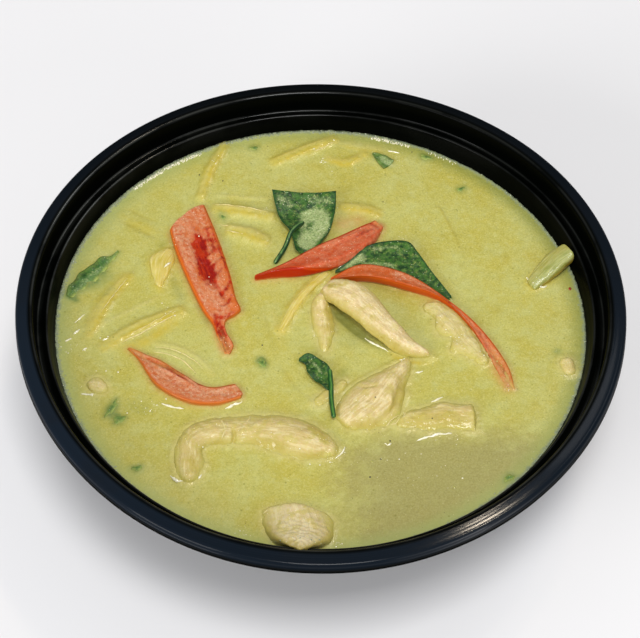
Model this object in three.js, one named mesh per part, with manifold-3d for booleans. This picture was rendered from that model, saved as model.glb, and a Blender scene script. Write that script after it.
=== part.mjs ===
// Thai green curry with chicken, red pepper, basil and bamboo shoots in a round black takeaway bowl.
// Units are millimetres, +Z is up, and the origin is the middle of the underside of the whole.
import * as THREE from "three";
import { mergeVertices } from "three/addons/utils/BufferGeometryUtils.js";
import Module from "manifold-3d";

const wasm = await Module();
wasm.setup();

// ---------------------------------------------------------------------------------------------
// Driving dimensions
// ---------------------------------------------------------------------------------------------
const RIM_RADIUS = 91.8; // lip at the foot of the rim's skirt
const SKIRT = 4.4; // depth of the rim's rolled edge
const BOWL_HEIGHT = 60; // crest of the rim
const CURRY_LEVEL = 48; // surface of the sauce
const BASE_RADIUS = 44; // flat underside, where the rounded bottom corner begins
const SHELL = 1; // thickness of the moulded plastic
const WALL_TOP_RADIUS = 81.9; // inside of the lower wall, just under the stacking ledge
const WALL_TOP = 52.6;
const WALL_CORNER_RADIUS = 66.5; // where the wall's slope would meet the floor without its rounding
const LEDGE_RADIUS = 85.4; // foot of the upper wall, at the outside of the ledge
const UPPER_WALL_RADIUS = 86.2; // inside of the upper wall at its top
const BOWL_AXIS = [-0.33, 0.67]; // sets the slightly oval rim's box centrally over the origin

const OVAL = { amount: 0.007, turn: THREE.MathUtils.degToRad(-56.8) }; // hot food softens the rim a little
const THREE_LOBED = { amount: 0.0082, turn: THREE.MathUtils.degToRad(21.6) };
const TWIST = { height: 0.65, turn: THREE.MathUtils.degToRad(39.3) }; // the rim's crest rises and dips

const GAP = 0.3; // clearance between a piece and what it touches
const BOWL_SIDES = 48;
const WALL_STEPS = 6;

const PEPPER_WALL = 4.4; // thickness of red pepper flesh
const LEAF = 0.5; // thickness of a basil leaf
const STEM_RADIUS = 0.9;
const BAMBOO = { width: 2.9, depth: 2.6 };

const COLOURS = {
  bowl: { color: 0x0b0c0f, roughness: 0.3 },
  curry: { color: 0xc2bf6a, roughness: 0.35 },
  pepper: { color: 0xd9532c, roughness: 0.35 },
  basil: { color: 0x2a5a32, roughness: 0.4 },
  chicken: { color: 0xe2cf9c, roughness: 0.5 },
  bamboo: { color: 0xdcc96a, roughness: 0.4 },
  lump: { color: 0xd8cf8e, roughness: 0.4 },
};

// ---------------------------------------------------------------------------------------------
// Closed meshes as solids that can be joined and cut
// ---------------------------------------------------------------------------------------------
function toSolid(geometry) {
  const bare = geometry.clone();
  bare.deleteAttribute("normal");
  bare.deleteAttribute("uv");
  const merged = mergeVertices(bare, 1e-4);
  const vertProperties = new Float32Array(merged.attributes.position.array);
  const triVerts = new Uint32Array(merged.index.array);
  return new wasm.Manifold(new wasm.Mesh({ numProp: 3, vertProperties, triVerts }));
}

function toGeometry(solid) {
  const mesh = solid.getMesh();
  const geometry = new THREE.BufferGeometry();
  geometry.setAttribute("position", new THREE.BufferAttribute(mesh.vertProperties, 3));
  geometry.setIndex(new THREE.BufferAttribute(mesh.triVerts, 1));
  geometry.computeVertexNormals();
  return geometry;
}

// A cut can leave scraps: only the largest body is kept.
function largestBody(solid) {
  const bodies = solid.decompose();
  return bodies.reduce((best, body) => (body.volume() > best.volume() ? body : best));
}

// ---------------------------------------------------------------------------------------------
// The bowl
// ---------------------------------------------------------------------------------------------
const point = (radius, height) => new THREE.Vector2(radius, height);

function arc(radius, height, size, fromDegrees, toDegrees, steps) {
  const points = [];
  for (let i = 0; i <= steps; i++) {
    const angle = THREE.MathUtils.degToRad(fromDegrees + ((toDegrees - fromDegrees) * i) / steps);
    points.push(point(radius + size * Math.cos(angle), height + size * Math.sin(angle)));
  }
  return points;
}

// Points up the lower wall from the edge of the floor, moved outwards by offset.
function lowerWall(offset) {
  const curve = new THREE.QuadraticBezierCurve(
    point(BASE_RADIUS, SHELL),
    point(WALL_CORNER_RADIUS, SHELL),
    point(WALL_TOP_RADIUS, WALL_TOP),
  );
  const points = [];
  for (let i = 0; i <= WALL_STEPS; i++) {
    const tangent = curve.getTangent(i / WALL_STEPS);
    const place = curve.getPoint(i / WALL_STEPS);
    points.push(point(place.x + tangent.y * offset, place.y - tangent.x * offset));
  }
  return points;
}

// The inside surface from the floor's edge up to the crest of the rim, moved inwards by gap.
function insideProfile(gap) {
  const ledgeInner = WALL_TOP_RADIUS + 0.9;
  return [
    ...lowerWall(-gap),
    ...arc(ledgeInner, WALL_TOP + 0.6, 0.6 + gap, 160, 80, 2),
    point(LEDGE_RADIUS - gap, WALL_TOP + gap),
    point(LEDGE_RADIUS + 0.45 - gap, WALL_TOP + 0.5 + gap),
    ...arc(UPPER_WALL_RADIUS + 1.2, BOWL_HEIGHT - 1.2, 1.2 + gap, 180, 90, 3),
  ];
}

// The flange, the skirt that hangs from it, and the outside of the upper wall and the ledge.
function rimProfile() {
  const foot = BOWL_HEIGHT - SKIRT;
  return [
    ...arc(RIM_RADIUS - 1.5, BOWL_HEIGHT - 1.7, 1.3, 85, 0, 3),
    point(RIM_RADIUS - 0.2, foot + 1),
    point(RIM_RADIUS, foot + 0.6),
    point(RIM_RADIUS - 0.3, foot),
    point(RIM_RADIUS - 1.1, foot),
    point(RIM_RADIUS - 1.2, foot + 2.3),
    point(RIM_RADIUS - 2, BOWL_HEIGHT - 1.4),
    point(UPPER_WALL_RADIUS + 1.8, BOWL_HEIGHT - 1.2),
    point(UPPER_WALL_RADIUS + 1, BOWL_HEIGHT - 2),
    point(LEDGE_RADIUS + 1.35, WALL_TOP - 0.1),
    point(LEDGE_RADIUS + 0.8, WALL_TOP - 0.8),
    point(WALL_TOP_RADIUS + 1.9, WALL_TOP - 0.3),
  ];
}

// How far a point at this angle and height leaves the true circle.
function softening(angle, height) {
  const share = Math.pow(Math.max(height, 0) / BOWL_HEIGHT, 0.8);
  const oval = OVAL.amount * Math.cos(2 * (angle - OVAL.turn));
  const lobes = THREE_LOBED.amount * Math.cos(3 * (angle - THREE_LOBED.turn));
  const lift = TWIST.height * Math.cos(2 * (angle - TWIST.turn));
  return { stretch: 1 + share * (oval + lobes), lift: share * lift };
}

// A sauce's surface stays level: points at levelAt aren't lifted with the wall.
function softened(geometry, levelAt) {
  const places = geometry.attributes.position;
  for (let i = 0; i < places.count; i++) {
    const [x, y, z] = [places.getX(i), places.getY(i), places.getZ(i)];
    const { stretch, lift } = softening(Math.atan2(y, x), z);
    const level = Math.abs(z - levelAt) < 0.01;
    places.setXYZ(i, x * stretch, y * stretch, level ? z : z + lift);
  }
  return geometry;
}

// A profile of radius and height turned about the upright axis.
function turned(profile, levelAt = Infinity) {
  const geometry = new THREE.LatheGeometry(profile, BOWL_SIDES);
  geometry.rotateX(Math.PI / 2);
  return toSolid(softened(geometry, levelAt));
}

function bowl() {
  return turned([
    point(0, 0),
    ...lowerWall(SHELL),
    ...rimProfile().reverse(),
    ...insideProfile(0).reverse(),
    point(0, SHELL),
  ]);
}

// The room inside the bowl that pieces of food may fill.
function bowlHollow() {
  const inside = insideProfile(GAP);
  const overRim = BOWL_HEIGHT + 10;
  return turned([
    point(0, SHELL + GAP),
    ...inside,
    point(inside.at(-1).x, overRim),
    point(0, overRim),
  ]);
}

// The profile's points below a height, and the point where it crosses that height.
function below(profile, height) {
  const last = profile.findIndex((p) => p.y > height);
  const [from, to] = [profile[last - 1], profile[last]];
  const crossing = from.clone().lerp(to, (height - from.y) / (to.y - from.y));
  return [...profile.slice(0, last), crossing];
}

function curryFill() {
  const wall = below(lowerWall(-GAP - 0.1), CURRY_LEVEL);
  return turned([point(0, wall[0].y), ...wall, point(0, CURRY_LEVEL)], CURRY_LEVEL);
}

// ---------------------------------------------------------------------------------------------
// Pieces of food
// ---------------------------------------------------------------------------------------------
// Smooth values between a few evenly spaced ones, for u from 0 to 1.
function blend(values, u) {
  const curve = new THREE.CatmullRomCurve3(values.map((v, i) => new THREE.Vector3(i, v, 0)));
  return curve.getPoint(THREE.MathUtils.clamp(u, 0, 1)).y;
}

function edgeCurve(points) {
  const corners = points.map(([x, y]) => new THREE.Vector3(x, y, 0));
  return new THREE.CatmullRomCurve3(corners, false, "centripetal");
}

// A closed piece between two edges that run the same way, seen from above.
// heights(u, v) gives its top and its underside above the sauce: u runs from 0 to 1 along the piece,
// and v from -1 at the left edge to 1 at the right. flare moves the underside out past each edge,
// bow rounds the two ends, and grow makes the whole piece larger all round.
function slab({ left, right, heights, flare = [0, 0], bow = [0, 0], along = 12, across = 5 }, grow) {
  const leftCurve = edgeCurve(left);
  const rightCurve = edgeCurve(right);
  const positions = [];
  const faces = [];
  const at = (row, column, layer) => (layer * (along + 1) + row) * (across + 1) + column;
  for (const layer of [0, 1]) {
    for (let row = 0; row <= along; row++) {
      const u = row / along;
      const a = leftCurve.getPointAt(u);
      const b = rightCurve.getPointAt(u);
      const middle = a.clone().add(b).divideScalar(2);
      const half = b.clone().sub(a).divideScalar(2);
      const onward = leftCurve.getTangentAt(u).add(rightCurve.getTangentAt(u)).normalize();
      for (let column = 0; column <= across; column++) {
        const v = -Math.cos((Math.PI * column) / across);
        const taper = Math.min(1, 5 * u, 5 * (1 - u));
        const spread = grow + layer * taper * (v < 0 ? flare[0] : flare[1]);
        const place = middle.clone().addScaledVector(half, v * (1 + spread / half.length()));
        const round = 1 - v * v;
        const near = Math.max(0, 1 - 4 * u) * (grow + bow[0] * round);
        const far = Math.max(0, 4 * u - 3) * (grow + bow[1] * round);
        place.addScaledVector(onward, far - near);
        const [top, underside] = heights(u, v);
        place.z = layer === 0 ? top + grow : underside - grow;
        positions.push(place.x, place.y, place.z);
      }
    }
  }
  const quad = (a, b, c, d) => faces.push(a, b, c, a, c, d);
  for (let row = 0; row < along; row++) {
    for (let column = 0; column < across; column++) {
      const corners = [
        [row, column],
        [row, column + 1],
        [row + 1, column + 1],
        [row + 1, column],
      ];
      const upper = corners.map(([r, c]) => at(r, c, 0));
      const [p, q, r, s] = corners.map(([i, j]) => at(i, j, 1));
      quad(...upper);
      faces.push(p, r, q, p, s, r);
    }
    quad(at(row, 0, 0), at(row + 1, 0, 0), at(row + 1, 0, 1), at(row, 0, 1));
    quad(at(row + 1, across, 0), at(row, across, 0), at(row, across, 1), at(row + 1, across, 1));
  }
  for (let column = 0; column < across; column++) {
    quad(at(0, column + 1, 0), at(0, column, 0), at(0, column, 1), at(0, column + 1, 1));
    quad(at(along, column, 0), at(along, column + 1, 0), at(along, column + 1, 1), at(along, column, 1));
  }
  const geometry = new THREE.BufferGeometry();
  geometry.setAttribute("position", new THREE.Float32BufferAttribute(positions, 3));
  geometry.setIndex(faces);
  geometry.translate(0, 0, CURRY_LEVEL);
  const solid = toSolid(geometry);
  return solid.volume() < 0 ? toSolid(flipped(geometry)) : solid;
}

function flipped(geometry) {
  const index = Array.from(geometry.index.array);
  for (let i = 0; i < index.length; i += 3) {
    [index[i + 1], index[i + 2]] = [index[i + 2], index[i + 1]];
  }
  geometry.setIndex(index);
  return geometry;
}

// How full a rounded piece is: 0.12 of its thickness at the outline and 1 in the middle.
function fullness(u, v, endShare = 0.18) {
  const side = Math.sqrt(Math.max(0, 1 - v * v));
  const nearEnd = Math.min(u, 1 - u) / endShare;
  const end = nearEnd >= 1 ? 1 : Math.sqrt(1 - (1 - nearEnd) ** 2);
  return 0.12 + 0.88 * side * (0.3 + 0.7 * end);
}

// Sliced chicken breast: a soft rounded slab, uneven along its length. rise is its crown and foot its
// lowest line.
function chicken({ rise, foot = [-5, -5], lumps = 0.35, phase = 0, ...outline }, grow) {
  const heights = (u, v) => {
    const crown = blend(rise, u);
    const keel = blend(foot, u);
    const middle = (crown + keel) / 2;
    const half = ((crown - keel) / 2) * fullness(u, v);
    const uneven = lumps * Math.sin(9 * u + 2.2 * v + phase) * (1 - v * v);
    return [middle + half + uneven, middle - half];
  };
  return slab({ along: 10, across: 5, ...outline, heights }, grow);
}

// A strip of red pepper: flesh above, skin below and at its long sides. The top is slightly hollow.
function pepper({ rise, tilt = [0, 0], wall = PEPPER_WALL, hollow = 0.5, ...outline }, grow) {
  const heights = (u, v) => {
    const top = blend(rise, u) + blend(tilt, u) * v - hollow * (1 - v * v);
    return [top, top - wall + 0.8 * v * v];
  };
  return slab({ along: 10, across: 4, ...outline, heights }, grow);
}

// A basil leaf: a thin sheet, cupped across and wavy along.
function leaf({ rise, cup = 1, wave = 0.35, waves = 2.5, ...outline }, grow) {
  const heights = (u, v) => {
    const ripple = wave * Math.sin(2 * Math.PI * waves * u + 1.5 * v) * Math.abs(v);
    const middle = blend(rise, u) + cup * v * v + ripple;
    return [middle + LEAF / 2, middle - LEAF / 2];
  };
  return slab({ along: 8, across: 4, ...outline, heights }, grow);
}

// A round stem along a few points of x, y and height above the sauce.
function stem(path, grow) {
  const route = new THREE.CatmullRomCurve3(
    path.map(([x, y, z]) => new THREE.Vector3(x, y, CURRY_LEVEL + z)),
  );
  const section = new THREE.Shape();
  section.absarc(0, 0, STEM_RADIUS + grow, 0, 2 * Math.PI, false);
  const settings = { steps: 7, curveSegments: 3, extrudePath: route, bevelEnabled: false };
  return toSolid(new THREE.ExtrudeGeometry(section, settings));
}

// A cut strip of bamboo shoot along a few points of x and y.
function bamboo({ path, rise, width = BAMBOO.width, depth = BAMBOO.depth, along = 4 }, grow) {
  const spine = edgeCurve(path);
  const sides = [1, -1].map((side) =>
    [0, 0.5, 1].map((u) => {
      const place = spine.getPointAt(u);
      const onward = spine.getTangentAt(u);
      const offset = (side * width) / 2;
      return [place.x - onward.y * offset, place.y + onward.x * offset];
    }),
  );
  const heights = (u, v) => {
    const top = blend(rise, u) - 0.25 * v * v;
    return [top, top - depth];
  };
  return slab({ left: sides[0], right: sides[1], heights, along, across: 2 }, grow);
}

// ---------------------------------------------------------------------------------------------
// Where each piece lies. An edge is a few [x, y] points from the bowl's axis, and rise gives heights
// above the sauce along the piece. A piece is cut clear of those before it.
// ---------------------------------------------------------------------------------------------
const PEPPERS = {
  pepper_top: {
    left: [[-20.2, 17.6], [-12.6, 21.4], [-0.5, 29.3], [7, 33.4], [17.2, 39.6]],
    right: [[-19.8, 16.8], [-12.5, 18.6], [-4, 19.2], [6, 22.8], [16.4, 31.8], [19.6, 37.6]],
    rise: [2.6, 3.6, 4, 3.2, 0.6],
    tilt: [0.2, 0.8, 0.4, 0],
    flare: [0, 1.5],
  },
  pepper_long: {
    left: [[3.2, 16.6], [12.5, 21.7], [25.7, 18.8], [38, 9.2], [48.7, -2.4], [56.5, -16.5], [58, -25]],
    right: [[3.6, 16], [14.5, 15.9], [25.5, 12.8], [37.2, 8], [45.6, -2], [51.4, -14.6], [55.4, -24.6]],
    rise: [2.6, 3.6, 3.4, 2.8, 1.8, 0.4, -0.2],
    tilt: [0.2, 0.7, 0.3, 0, 0],
    along: 14,
  },
  pepper_wide: {
    left: [[-47.1, 36.3], [-44.7, 27.2], [-39.9, 14.2], [-35.4, 3.9], [-30.9, -3.4], [-28.2, -12.2]],
    right: [[-36.6, 47.8], [-31.6, 33], [-27.3, 17.7], [-23.9, 4.6], [-28.6, -2.6], [-25.9, -11]],
    rise: [2.2, 2.8, 2.6, 2.1, 0.2],
    tilt: [-0.5, -0.5, -0.2, 0],
    along: 14,
  },
  pepper_crescent: {
    left: [[-57.6, -9], [-49, -12.9], [-39.4, -19.6], [-32.6, -24.2], [-25.5, -23.6]],
    right: [[-58, -9.4], [-54.4, -13.8], [-48.1, -24], [-37.9, -30.1], [-29.2, -29.6], [-22.7, -25.8]],
    rise: [1, 1.6, 1.8, 1.8, 1.5],
    tilt: [0, 0.5, 0.4, 0.2],
    bow: [0, 0.8],
  },
};

const CHICKEN = {
  chicken_main: {
    left: [[0.8, 11.6], [3.5, 14.3], [10.2, 13.6], [17.1, 7.2], [22.7, -0.6], [28.9, -7.6], [34, -12]],
    right: [[0.2, 10.2], [2, 7.4], [7.4, 2], [13.6, -4.6], [20, -9.9], [26.6, -12.9], [33.4, -13.2]],
    rise: [4.6, 6.6, 7, 6, 4, 1.6],
    foot: [-2, 1.6, 2.2, 1, -2, -3],
    lumps: 0.2,
    along: 12,
  },
  chicken_centre: {
    left: [[4.8, -35.4], [5.2, -30.2], [8.4, -25.1], [13.5, -21.2], [19.6, -17.8], [26.1, -13]],
    right: [[8.9, -38.9], [15.6, -38.6], [21.2, -35.8], [24.3, -29.8], [25.7, -23], [27.4, -13.6]],
    rise: [1.8, 3, 3.6, 3, 1.8],
    phase: 1,
  },
  chicken_left_long: {
    left: [[-40.8, -57.2], [-42.4, -48], [-39, -38.8], [-31, -35.6], [-9, -34.6], [0, -38.9], [5.4, -44.4]],
    right: [[-35.6, -57], [-33.8, -50.2], [-34, -45.4], [-21, -44.2], [-12, -46.8], [-3.6, -49], [3.4, -48]],
    rise: [1.4, 2.2, 2.6, 2.1, 3, 3.2, 1.6],
    phase: 0.4,
    bow: [0.8, 0.8],
    along: 15,
  },
  chicken_front: {
    left: [[-16.2, -66], [-15.8, -71.6], [-13, -77], [-10, -80.6], [-7.2, -84.2]],
    right: [[3, -67.6], [3.8, -72.5], [2, -78], [-1.4, -81.6], [-4, -84.4]],
    rise: [1.4, 2.6, 4.6, 7, 8],
    foot: [-5, -5, -3, 2, 6.6],
    lumps: 0.25,
    bow: [2.2, 0.3],
  },
  chicken_far_right: {
    left: [[31.9, 7.3], [36.8, 8.2], [43, 3], [47.9, -6.8], [51, -14.4]],
    right: [[33, 4.6], [35, 0.8], [38.6, -6.4], [42.8, -11.8], [48.4, -15.2]],
    rise: [0.9, 1.3, 1.3, 0.9],
    lumps: 0.12,
  },
  chicken_near_right: {
    left: [[25.4, -33.4], [30.4, -30.5], [37.5, -29.4], [45.8, -29]],
    right: [[25.9, -37.8], [31, -38.9], [38.7, -38], [46.6, -39.6]],
    rise: [1.2, 1.8, 1.8, 1.2],
    lumps: 0.3,
    phase: 2.2,
  },
  chicken_fold: {
    left: [[0.2, 11.4], [-2.1, 8.4], [-2.5, 0.9], [-1, -6.8], [0.2, -12.2]],
    right: [[1.2, 11], [2.6, 7.4], [3.6, 0.8], [3.4, -5.6], [2.4, -11.4]],
    rise: [3, 2.6, 2, 1.3, 0.8],
    foot: [-3, -3],
    lumps: 0.15,
    across: 4,
    along: 8,
  },
  chicken_small: {
    left: [[-3.6, -29.6], [0.1, -25.4], [4.4, -21.6], [9.6, -19.4]],
    right: [[-2, -31.8], [1.6, -31], [4.6, -28.6], [8.6, -24.2]],
    rise: [0.8, 1.1, 1],
    lumps: 0.1,
    along: 8,
    across: 4,
  },
};

const BAMBOO_STRIPS = {
  bamboo_far_left: { path: [[-30.6, 74], [-35, 63.4], [-37.9, 50.6]], rise: [0.8, 1, 0.9] },
  bamboo_far_middle: { path: [[5.6, 77], [-4.7, 71.8], [-15.6, 66]], rise: [0.7, 1.1, 0.7] },
  bamboo_far_bent: { path: [[1.8, 68.4], [8, 66.2], [15.2, 70.4]], rise: [0.4, 0.7, 0.5], width: 2.2 },
  bamboo_upper: { path: [[-33.6, 46.9], [-25.2, 45.4], [-14.6, 42.8]], rise: [0.8, 1.1, 0.8] },
  bamboo_lower: { path: [[-29.2, 37.7], [-23.4, 35.8], [-16.1, 32.4]], rise: [1, 1.4, 0.9], width: 3.4 },
  bamboo_stub: { path: [[-48.8, 28.6], [-48.6, 21.6], [-49.2, 14.2]], rise: [0.7, 1.5, 1], width: 5.4 },
  bamboo_behind_leaf: { path: [[6.6, 47.2], [13, 46.4], [19.6, 44.4]], rise: [0.6, 0.9, 0.5] },
  bamboo_middle: { path: [[2.4, 20.6], [-4.6, 11.8], [-12, -3]], rise: [0.8, 1.2, 0.7], width: 3.2 },
  bamboo_left: { path: [[-58.6, 19.9], [-64.8, 8.8], [-69.8, -4.6]], rise: [0.6, 0.9, 0.6] },
  bamboo_near_left: { path: [[-41.9, 5.6], [-54.4, -0.9], [-65.8, -9.4]], rise: [0.8, 1.2, 0.6], width: 3.4 },
};

const BAMBOO_CHUNK = {
  left: [[63.6, 16.6], [70.3, 24.6], [75.8, 27.6]],
  right: [[65.8, 12.8], [72.6, 17.4], [78.9, 22.6]],
  heights: (u, v) => [blend([1.4, 4.2, 6.6], u) - 0.3 * v * v, blend([-2.4, 0.4, 2.4], u)],
  along: 6,
  across: 3,
};

const LUMPS = {
  lump_left: {
    left: [[-69.6, -21.6], [-66, -19.8], [-62.6, -23]],
    right: [[-69, -24.4], [-66, -26.6], [-62.4, -26]],
  },
  lump_right: {
    left: [[72, -12.6], [75.4, -13], [76.9, -17.8]],
    right: [[71.4, -15.4], [72.6, -18.6], [75.6, -20]],
  },
};

function basilTop(grow) {
  const blade = leaf(
    {
      left: [[-15.2, 52], [-13.9, 45.5], [-11.8, 39.2], [-9, 34.6], [-7.4, 27]],
      right: [[5.3, 50.7], [5, 44.2], [4, 38.4], [2.4, 33.6], [-1.2, 27.6]],
      rise: [2.2, 0.6, 0.4, 0.6, 0.6],
      cup: 1.9,
    },
    grow,
  );
  const stalk = stem([[-5, 40, 1.3], [-8.7, 34.9, 2.6], [-10.8, 28.8, 2], [-14, 23.4, 0.6]], grow);
  return blade.add(stalk);
}

function basilMiddle(grow) {
  return leaf(
    {
      left: [[4.6, 19.8], [10, 24.1], [17.3, 29.3], [27.5, 30.2], [33.2, 21.3], [37, 15.3], [40.6, 9.6]],
      right: [[5, 19.2], [9, 19.6], [14, 20], [22.4, 18.4], [30, 13.8], [35.1, 11], [40, 8.9]],
      rise: [1, 1.6, 1.6, 1.4, 1.2, 0.4],
      cup: 1.2,
    },
    grow,
  );
}

function basilSprig(grow) {
  const blade = leaf(
    {
      left: [[-6.4, -13.6], [-3.8, -12.3], [-0.5, -13.8], [3.1, -17.9], [3.9, -24]],
      right: [[-6, -15], [-4.2, -16.2], [-3.7, -19.3], [-1.4, -22.3], [2.6, -26]],
      rise: [0.5, 1, 1, 1],
      cup: 0.7,
    },
    grow,
  );
  const stalk = stem([[3, -18, 1.3], [3.4, -24.3, 1.6], [3.5, -30, 1.8], [4.2, -36.3, 2.2]], grow);
  return blade.add(stalk);
}

function basilLeft(grow) {
  return leaf(
    {
      left: [[-77.2, 11.6], [-74.6, 18.9], [-69.4, 25], [-63, 28.4]],
      right: [[-76.6, 10.4], [-73, 13.8], [-67.6, 20], [-62.6, 27.2]],
      rise: [0.4, 0.5, 0.5, 0.5],
      cup: 0.5,
      wave: 0.15,
    },
    grow,
  );
}

function basilScrap(grow) {
  return leaf(
    {
      left: [[16.9, 70.2], [20.6, 69], [24.4, 66.5]],
      right: [[17.4, 68.6], [18.8, 65.6], [20.8, 62.8]],
      rise: [0.6, 0.7, 0.5],
      cup: 0.3,
      wave: 0.1,
      along: 5,
      across: 4,
    },
    grow,
  );
}

// Scraps of basil too small to lift out: they are part of the sauce's surface.
const FLECKS = [
  { at: [-61.2, -31.4], size: 2.6 },
  { at: [-58.6, -36], size: 1.9 },
  { at: [-17.2, -14.6], size: 1.8 },
  { at: [-52.6, -52.6], size: 1.5 },
  { at: [45.2, 54.8], size: 1.2 },
  { at: [34.4, 68.6], size: 1.5 },
  { at: [-21.2, 72.6], size: 1.1 },
  { at: [-30.6, 43.1], size: 1.1 },
  { at: [54.4, -56], size: 1.4 },
];
const FLECK_HEIGHT = 0.45;
const FLECK_SIDES = 7;

function fleck({ at: [x, y], size }, index) {
  const outline = new THREE.Shape();
  for (let i = 0; i < FLECK_SIDES; i++) {
    const angle = (2 * Math.PI * i) / FLECK_SIDES;
    const radius = size * (1 + 0.3 * Math.sin(2.3 * i + index));
    const corner = [x + radius * Math.cos(angle), y + 0.7 * radius * Math.sin(angle)];
    if (i === 0) outline.moveTo(...corner);
    else outline.lineTo(...corner);
  }
  const scrap = new THREE.ExtrudeGeometry(outline, { depth: 1 + FLECK_HEIGHT, bevelEnabled: false });
  scrap.translate(0, 0, CURRY_LEVEL - 1);
  return toSolid(scrap);
}

// ---------------------------------------------------------------------------------------------
// Putting the bowl together
// ---------------------------------------------------------------------------------------------
function roundLump(edges, grow) {
  return chicken({ ...edges, rise: [1, 1.4, 1], foot: [-2.5, -2.5], lumps: 0, along: 6, across: 4 }, grow);
}

// Every loose piece as a name, a kind, and a maker that takes how much larger it should be.
function loosePieces() {
  const entries = (table, kind, make) =>
    Object.entries(table).map(([name, shape]) => ({ name, kind, make: (grow) => make(shape, grow) }));
  const basil = { basil_top: basilTop, basil_middle: basilMiddle, basil_sprig: basilSprig };
  const smallBasil = { basil_left: basilLeft, basil_scrap: basilScrap };
  return [
    ...entries(PEPPERS, "pepper", pepper),
    ...entries(basil, "basil", (make, grow) => make(grow)),
    ...entries(CHICKEN, "chicken", chicken),
    ...entries(smallBasil, "basil", (make, grow) => make(grow)),
    ...entries({ bamboo_chunk: BAMBOO_CHUNK }, "bamboo", slab),
    ...entries(BAMBOO_STRIPS, "bamboo", bamboo),
    ...entries(LUMPS, "lump", roundLump),
  ];
}

function mesh(name, kind, solid) {
  const material = new THREE.MeshStandardMaterial({ ...COLOURS[kind], metalness: 0 });
  const made = new THREE.Mesh(toGeometry(solid), material);
  made.name = name;
  return made;
}

function greenCurry() {
  const whole = new THREE.Group();
  whole.position.set(BOWL_AXIS[0], BOWL_AXIS[1], 0);
  whole.add(mesh("bowl", "bowl", bowl()));

  const hollow = bowlHollow();
  const clearances = [];
  let curry = curryFill();
  for (const { name, kind, make } of loosePieces()) {
    let piece = make(0).intersect(hollow);
    for (const taken of clearances) piece = piece.subtract(taken);
    whole.add(mesh(name, kind, largestBody(piece)));
    const clearance = make(GAP);
    clearances.push(clearance);
    curry = curry.subtract(clearance);
  }
  FLECKS.forEach((place, index) => {
    curry = curry.add(fleck(place, index));
  });
  whole.add(mesh("curry_sauce", "curry", largestBody(curry)));
  return whole;
}

export default greenCurry();
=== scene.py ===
# %% [markdown]
# # Thai green curry in a black takeaway bowl
#
# The bowl, the pool of curry and each piece of food already exist as plain faceted solids, the frame.
# This lesson gives each of them its real surface. Every piece keeps the place and the form of the solid
# that it stands for, and is made again with rows of points fine enough for skin, fibres and wet edges.

# %% Load the frame
import math

import bpy
import numpy as np
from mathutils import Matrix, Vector, noise
from mathutils.bvhtree import BVHTree
from mathutils.kdtree import KDTree


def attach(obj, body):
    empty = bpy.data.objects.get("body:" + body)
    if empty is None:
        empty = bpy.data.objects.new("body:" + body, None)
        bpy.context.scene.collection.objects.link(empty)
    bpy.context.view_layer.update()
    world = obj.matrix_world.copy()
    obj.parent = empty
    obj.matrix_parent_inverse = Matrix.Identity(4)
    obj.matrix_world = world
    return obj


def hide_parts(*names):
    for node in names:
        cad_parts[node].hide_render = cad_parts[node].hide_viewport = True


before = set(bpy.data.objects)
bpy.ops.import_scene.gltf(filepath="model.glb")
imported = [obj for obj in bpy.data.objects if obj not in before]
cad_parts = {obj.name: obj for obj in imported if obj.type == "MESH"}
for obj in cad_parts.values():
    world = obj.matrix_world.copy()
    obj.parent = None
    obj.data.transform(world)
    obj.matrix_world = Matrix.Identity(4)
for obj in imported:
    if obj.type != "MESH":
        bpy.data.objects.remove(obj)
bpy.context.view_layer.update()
print("solids in the frame:", len(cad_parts))

# %% [markdown]
# ## Sizes
#
# The lesson thinks in millimetres, as a cook's ruler would, measured from the bowl's own axis, and turns
# them into Blender's metres only when a mesh is made. The bowl's profile is the part of the frame that
# matters most, because the pool of curry ends at its wall.

# %% Sizes in millimetres
MM = 0.001
BOWL_AXIS = np.array([-0.33, 0.67, 0.0])
CURRY_LEVEL = 48.0
BOWL_HEIGHT = 60.0
RIM_RADIUS = 91.8
SKIRT = 4.4
SHELL = 1.0
BASE_RADIUS = 44.0
WALL_CORNER_RADIUS = 66.5
WALL_TOP_RADIUS = 81.9
WALL_TOP = 52.6
LEDGE_RADIUS = 85.4
UPPER_WALL_RADIUS = 86.2

OVAL = (0.007, math.radians(-56.8))
THREE_LOBED = (0.0082, math.radians(21.6))
TWIST = (0.65, math.radians(39.3))

PEPPER_WALL = 4.4
LEAF = 0.5
STEM_RADIUS = 0.9
BAMBOO_WIDTH = 2.9
BAMBOO_DEPTH = 2.6


def to_frame(points):
    """Millimetres from the bowl's axis as metres in the frame."""
    return (np.asarray(points, float) + BOWL_AXIS) * MM


# %% [markdown]
# ## The camera
#
# A long lens looks down into the bowl from arm's length, as one looks at a meal before eating it.

# %% Camera
# In millimetres from the bowl's axis, but for the lens, whose sensor is 36 mm wide.
EYE = (0, -389.57, 546.44)
LOOK_AT = (0.13, -5.83, 58.06)
LENS = 117.26
camera = bpy.data.objects.new("camera", bpy.data.cameras.new("camera"))
bpy.context.scene.collection.objects.link(camera)
camera.data.sensor_fit = "HORIZONTAL"
camera.data.sensor_width = 36
camera.data.lens = LENS
eye = Vector(to_frame(EYE))
aim = Vector(to_frame(LOOK_AT))
camera.location = eye
camera.rotation_mode = "QUATERNION"
camera.rotation_quaternion = (aim - eye).to_track_quat("-Z", "Y")
bpy.context.scene.camera = camera
print("camera is", round((eye - aim).length, 3), "m from the bowl")

# %% [markdown]
# ## Writing a finish as a sum
#
# A material is a network of nodes. Networks are slow to read, so a small class wraps a socket and lets
# ordinary arithmetic build the Math nodes: `1 - mask` or `0.3 + 0.1 * grain`.

# %% A socket that can be added and multiplied


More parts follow.
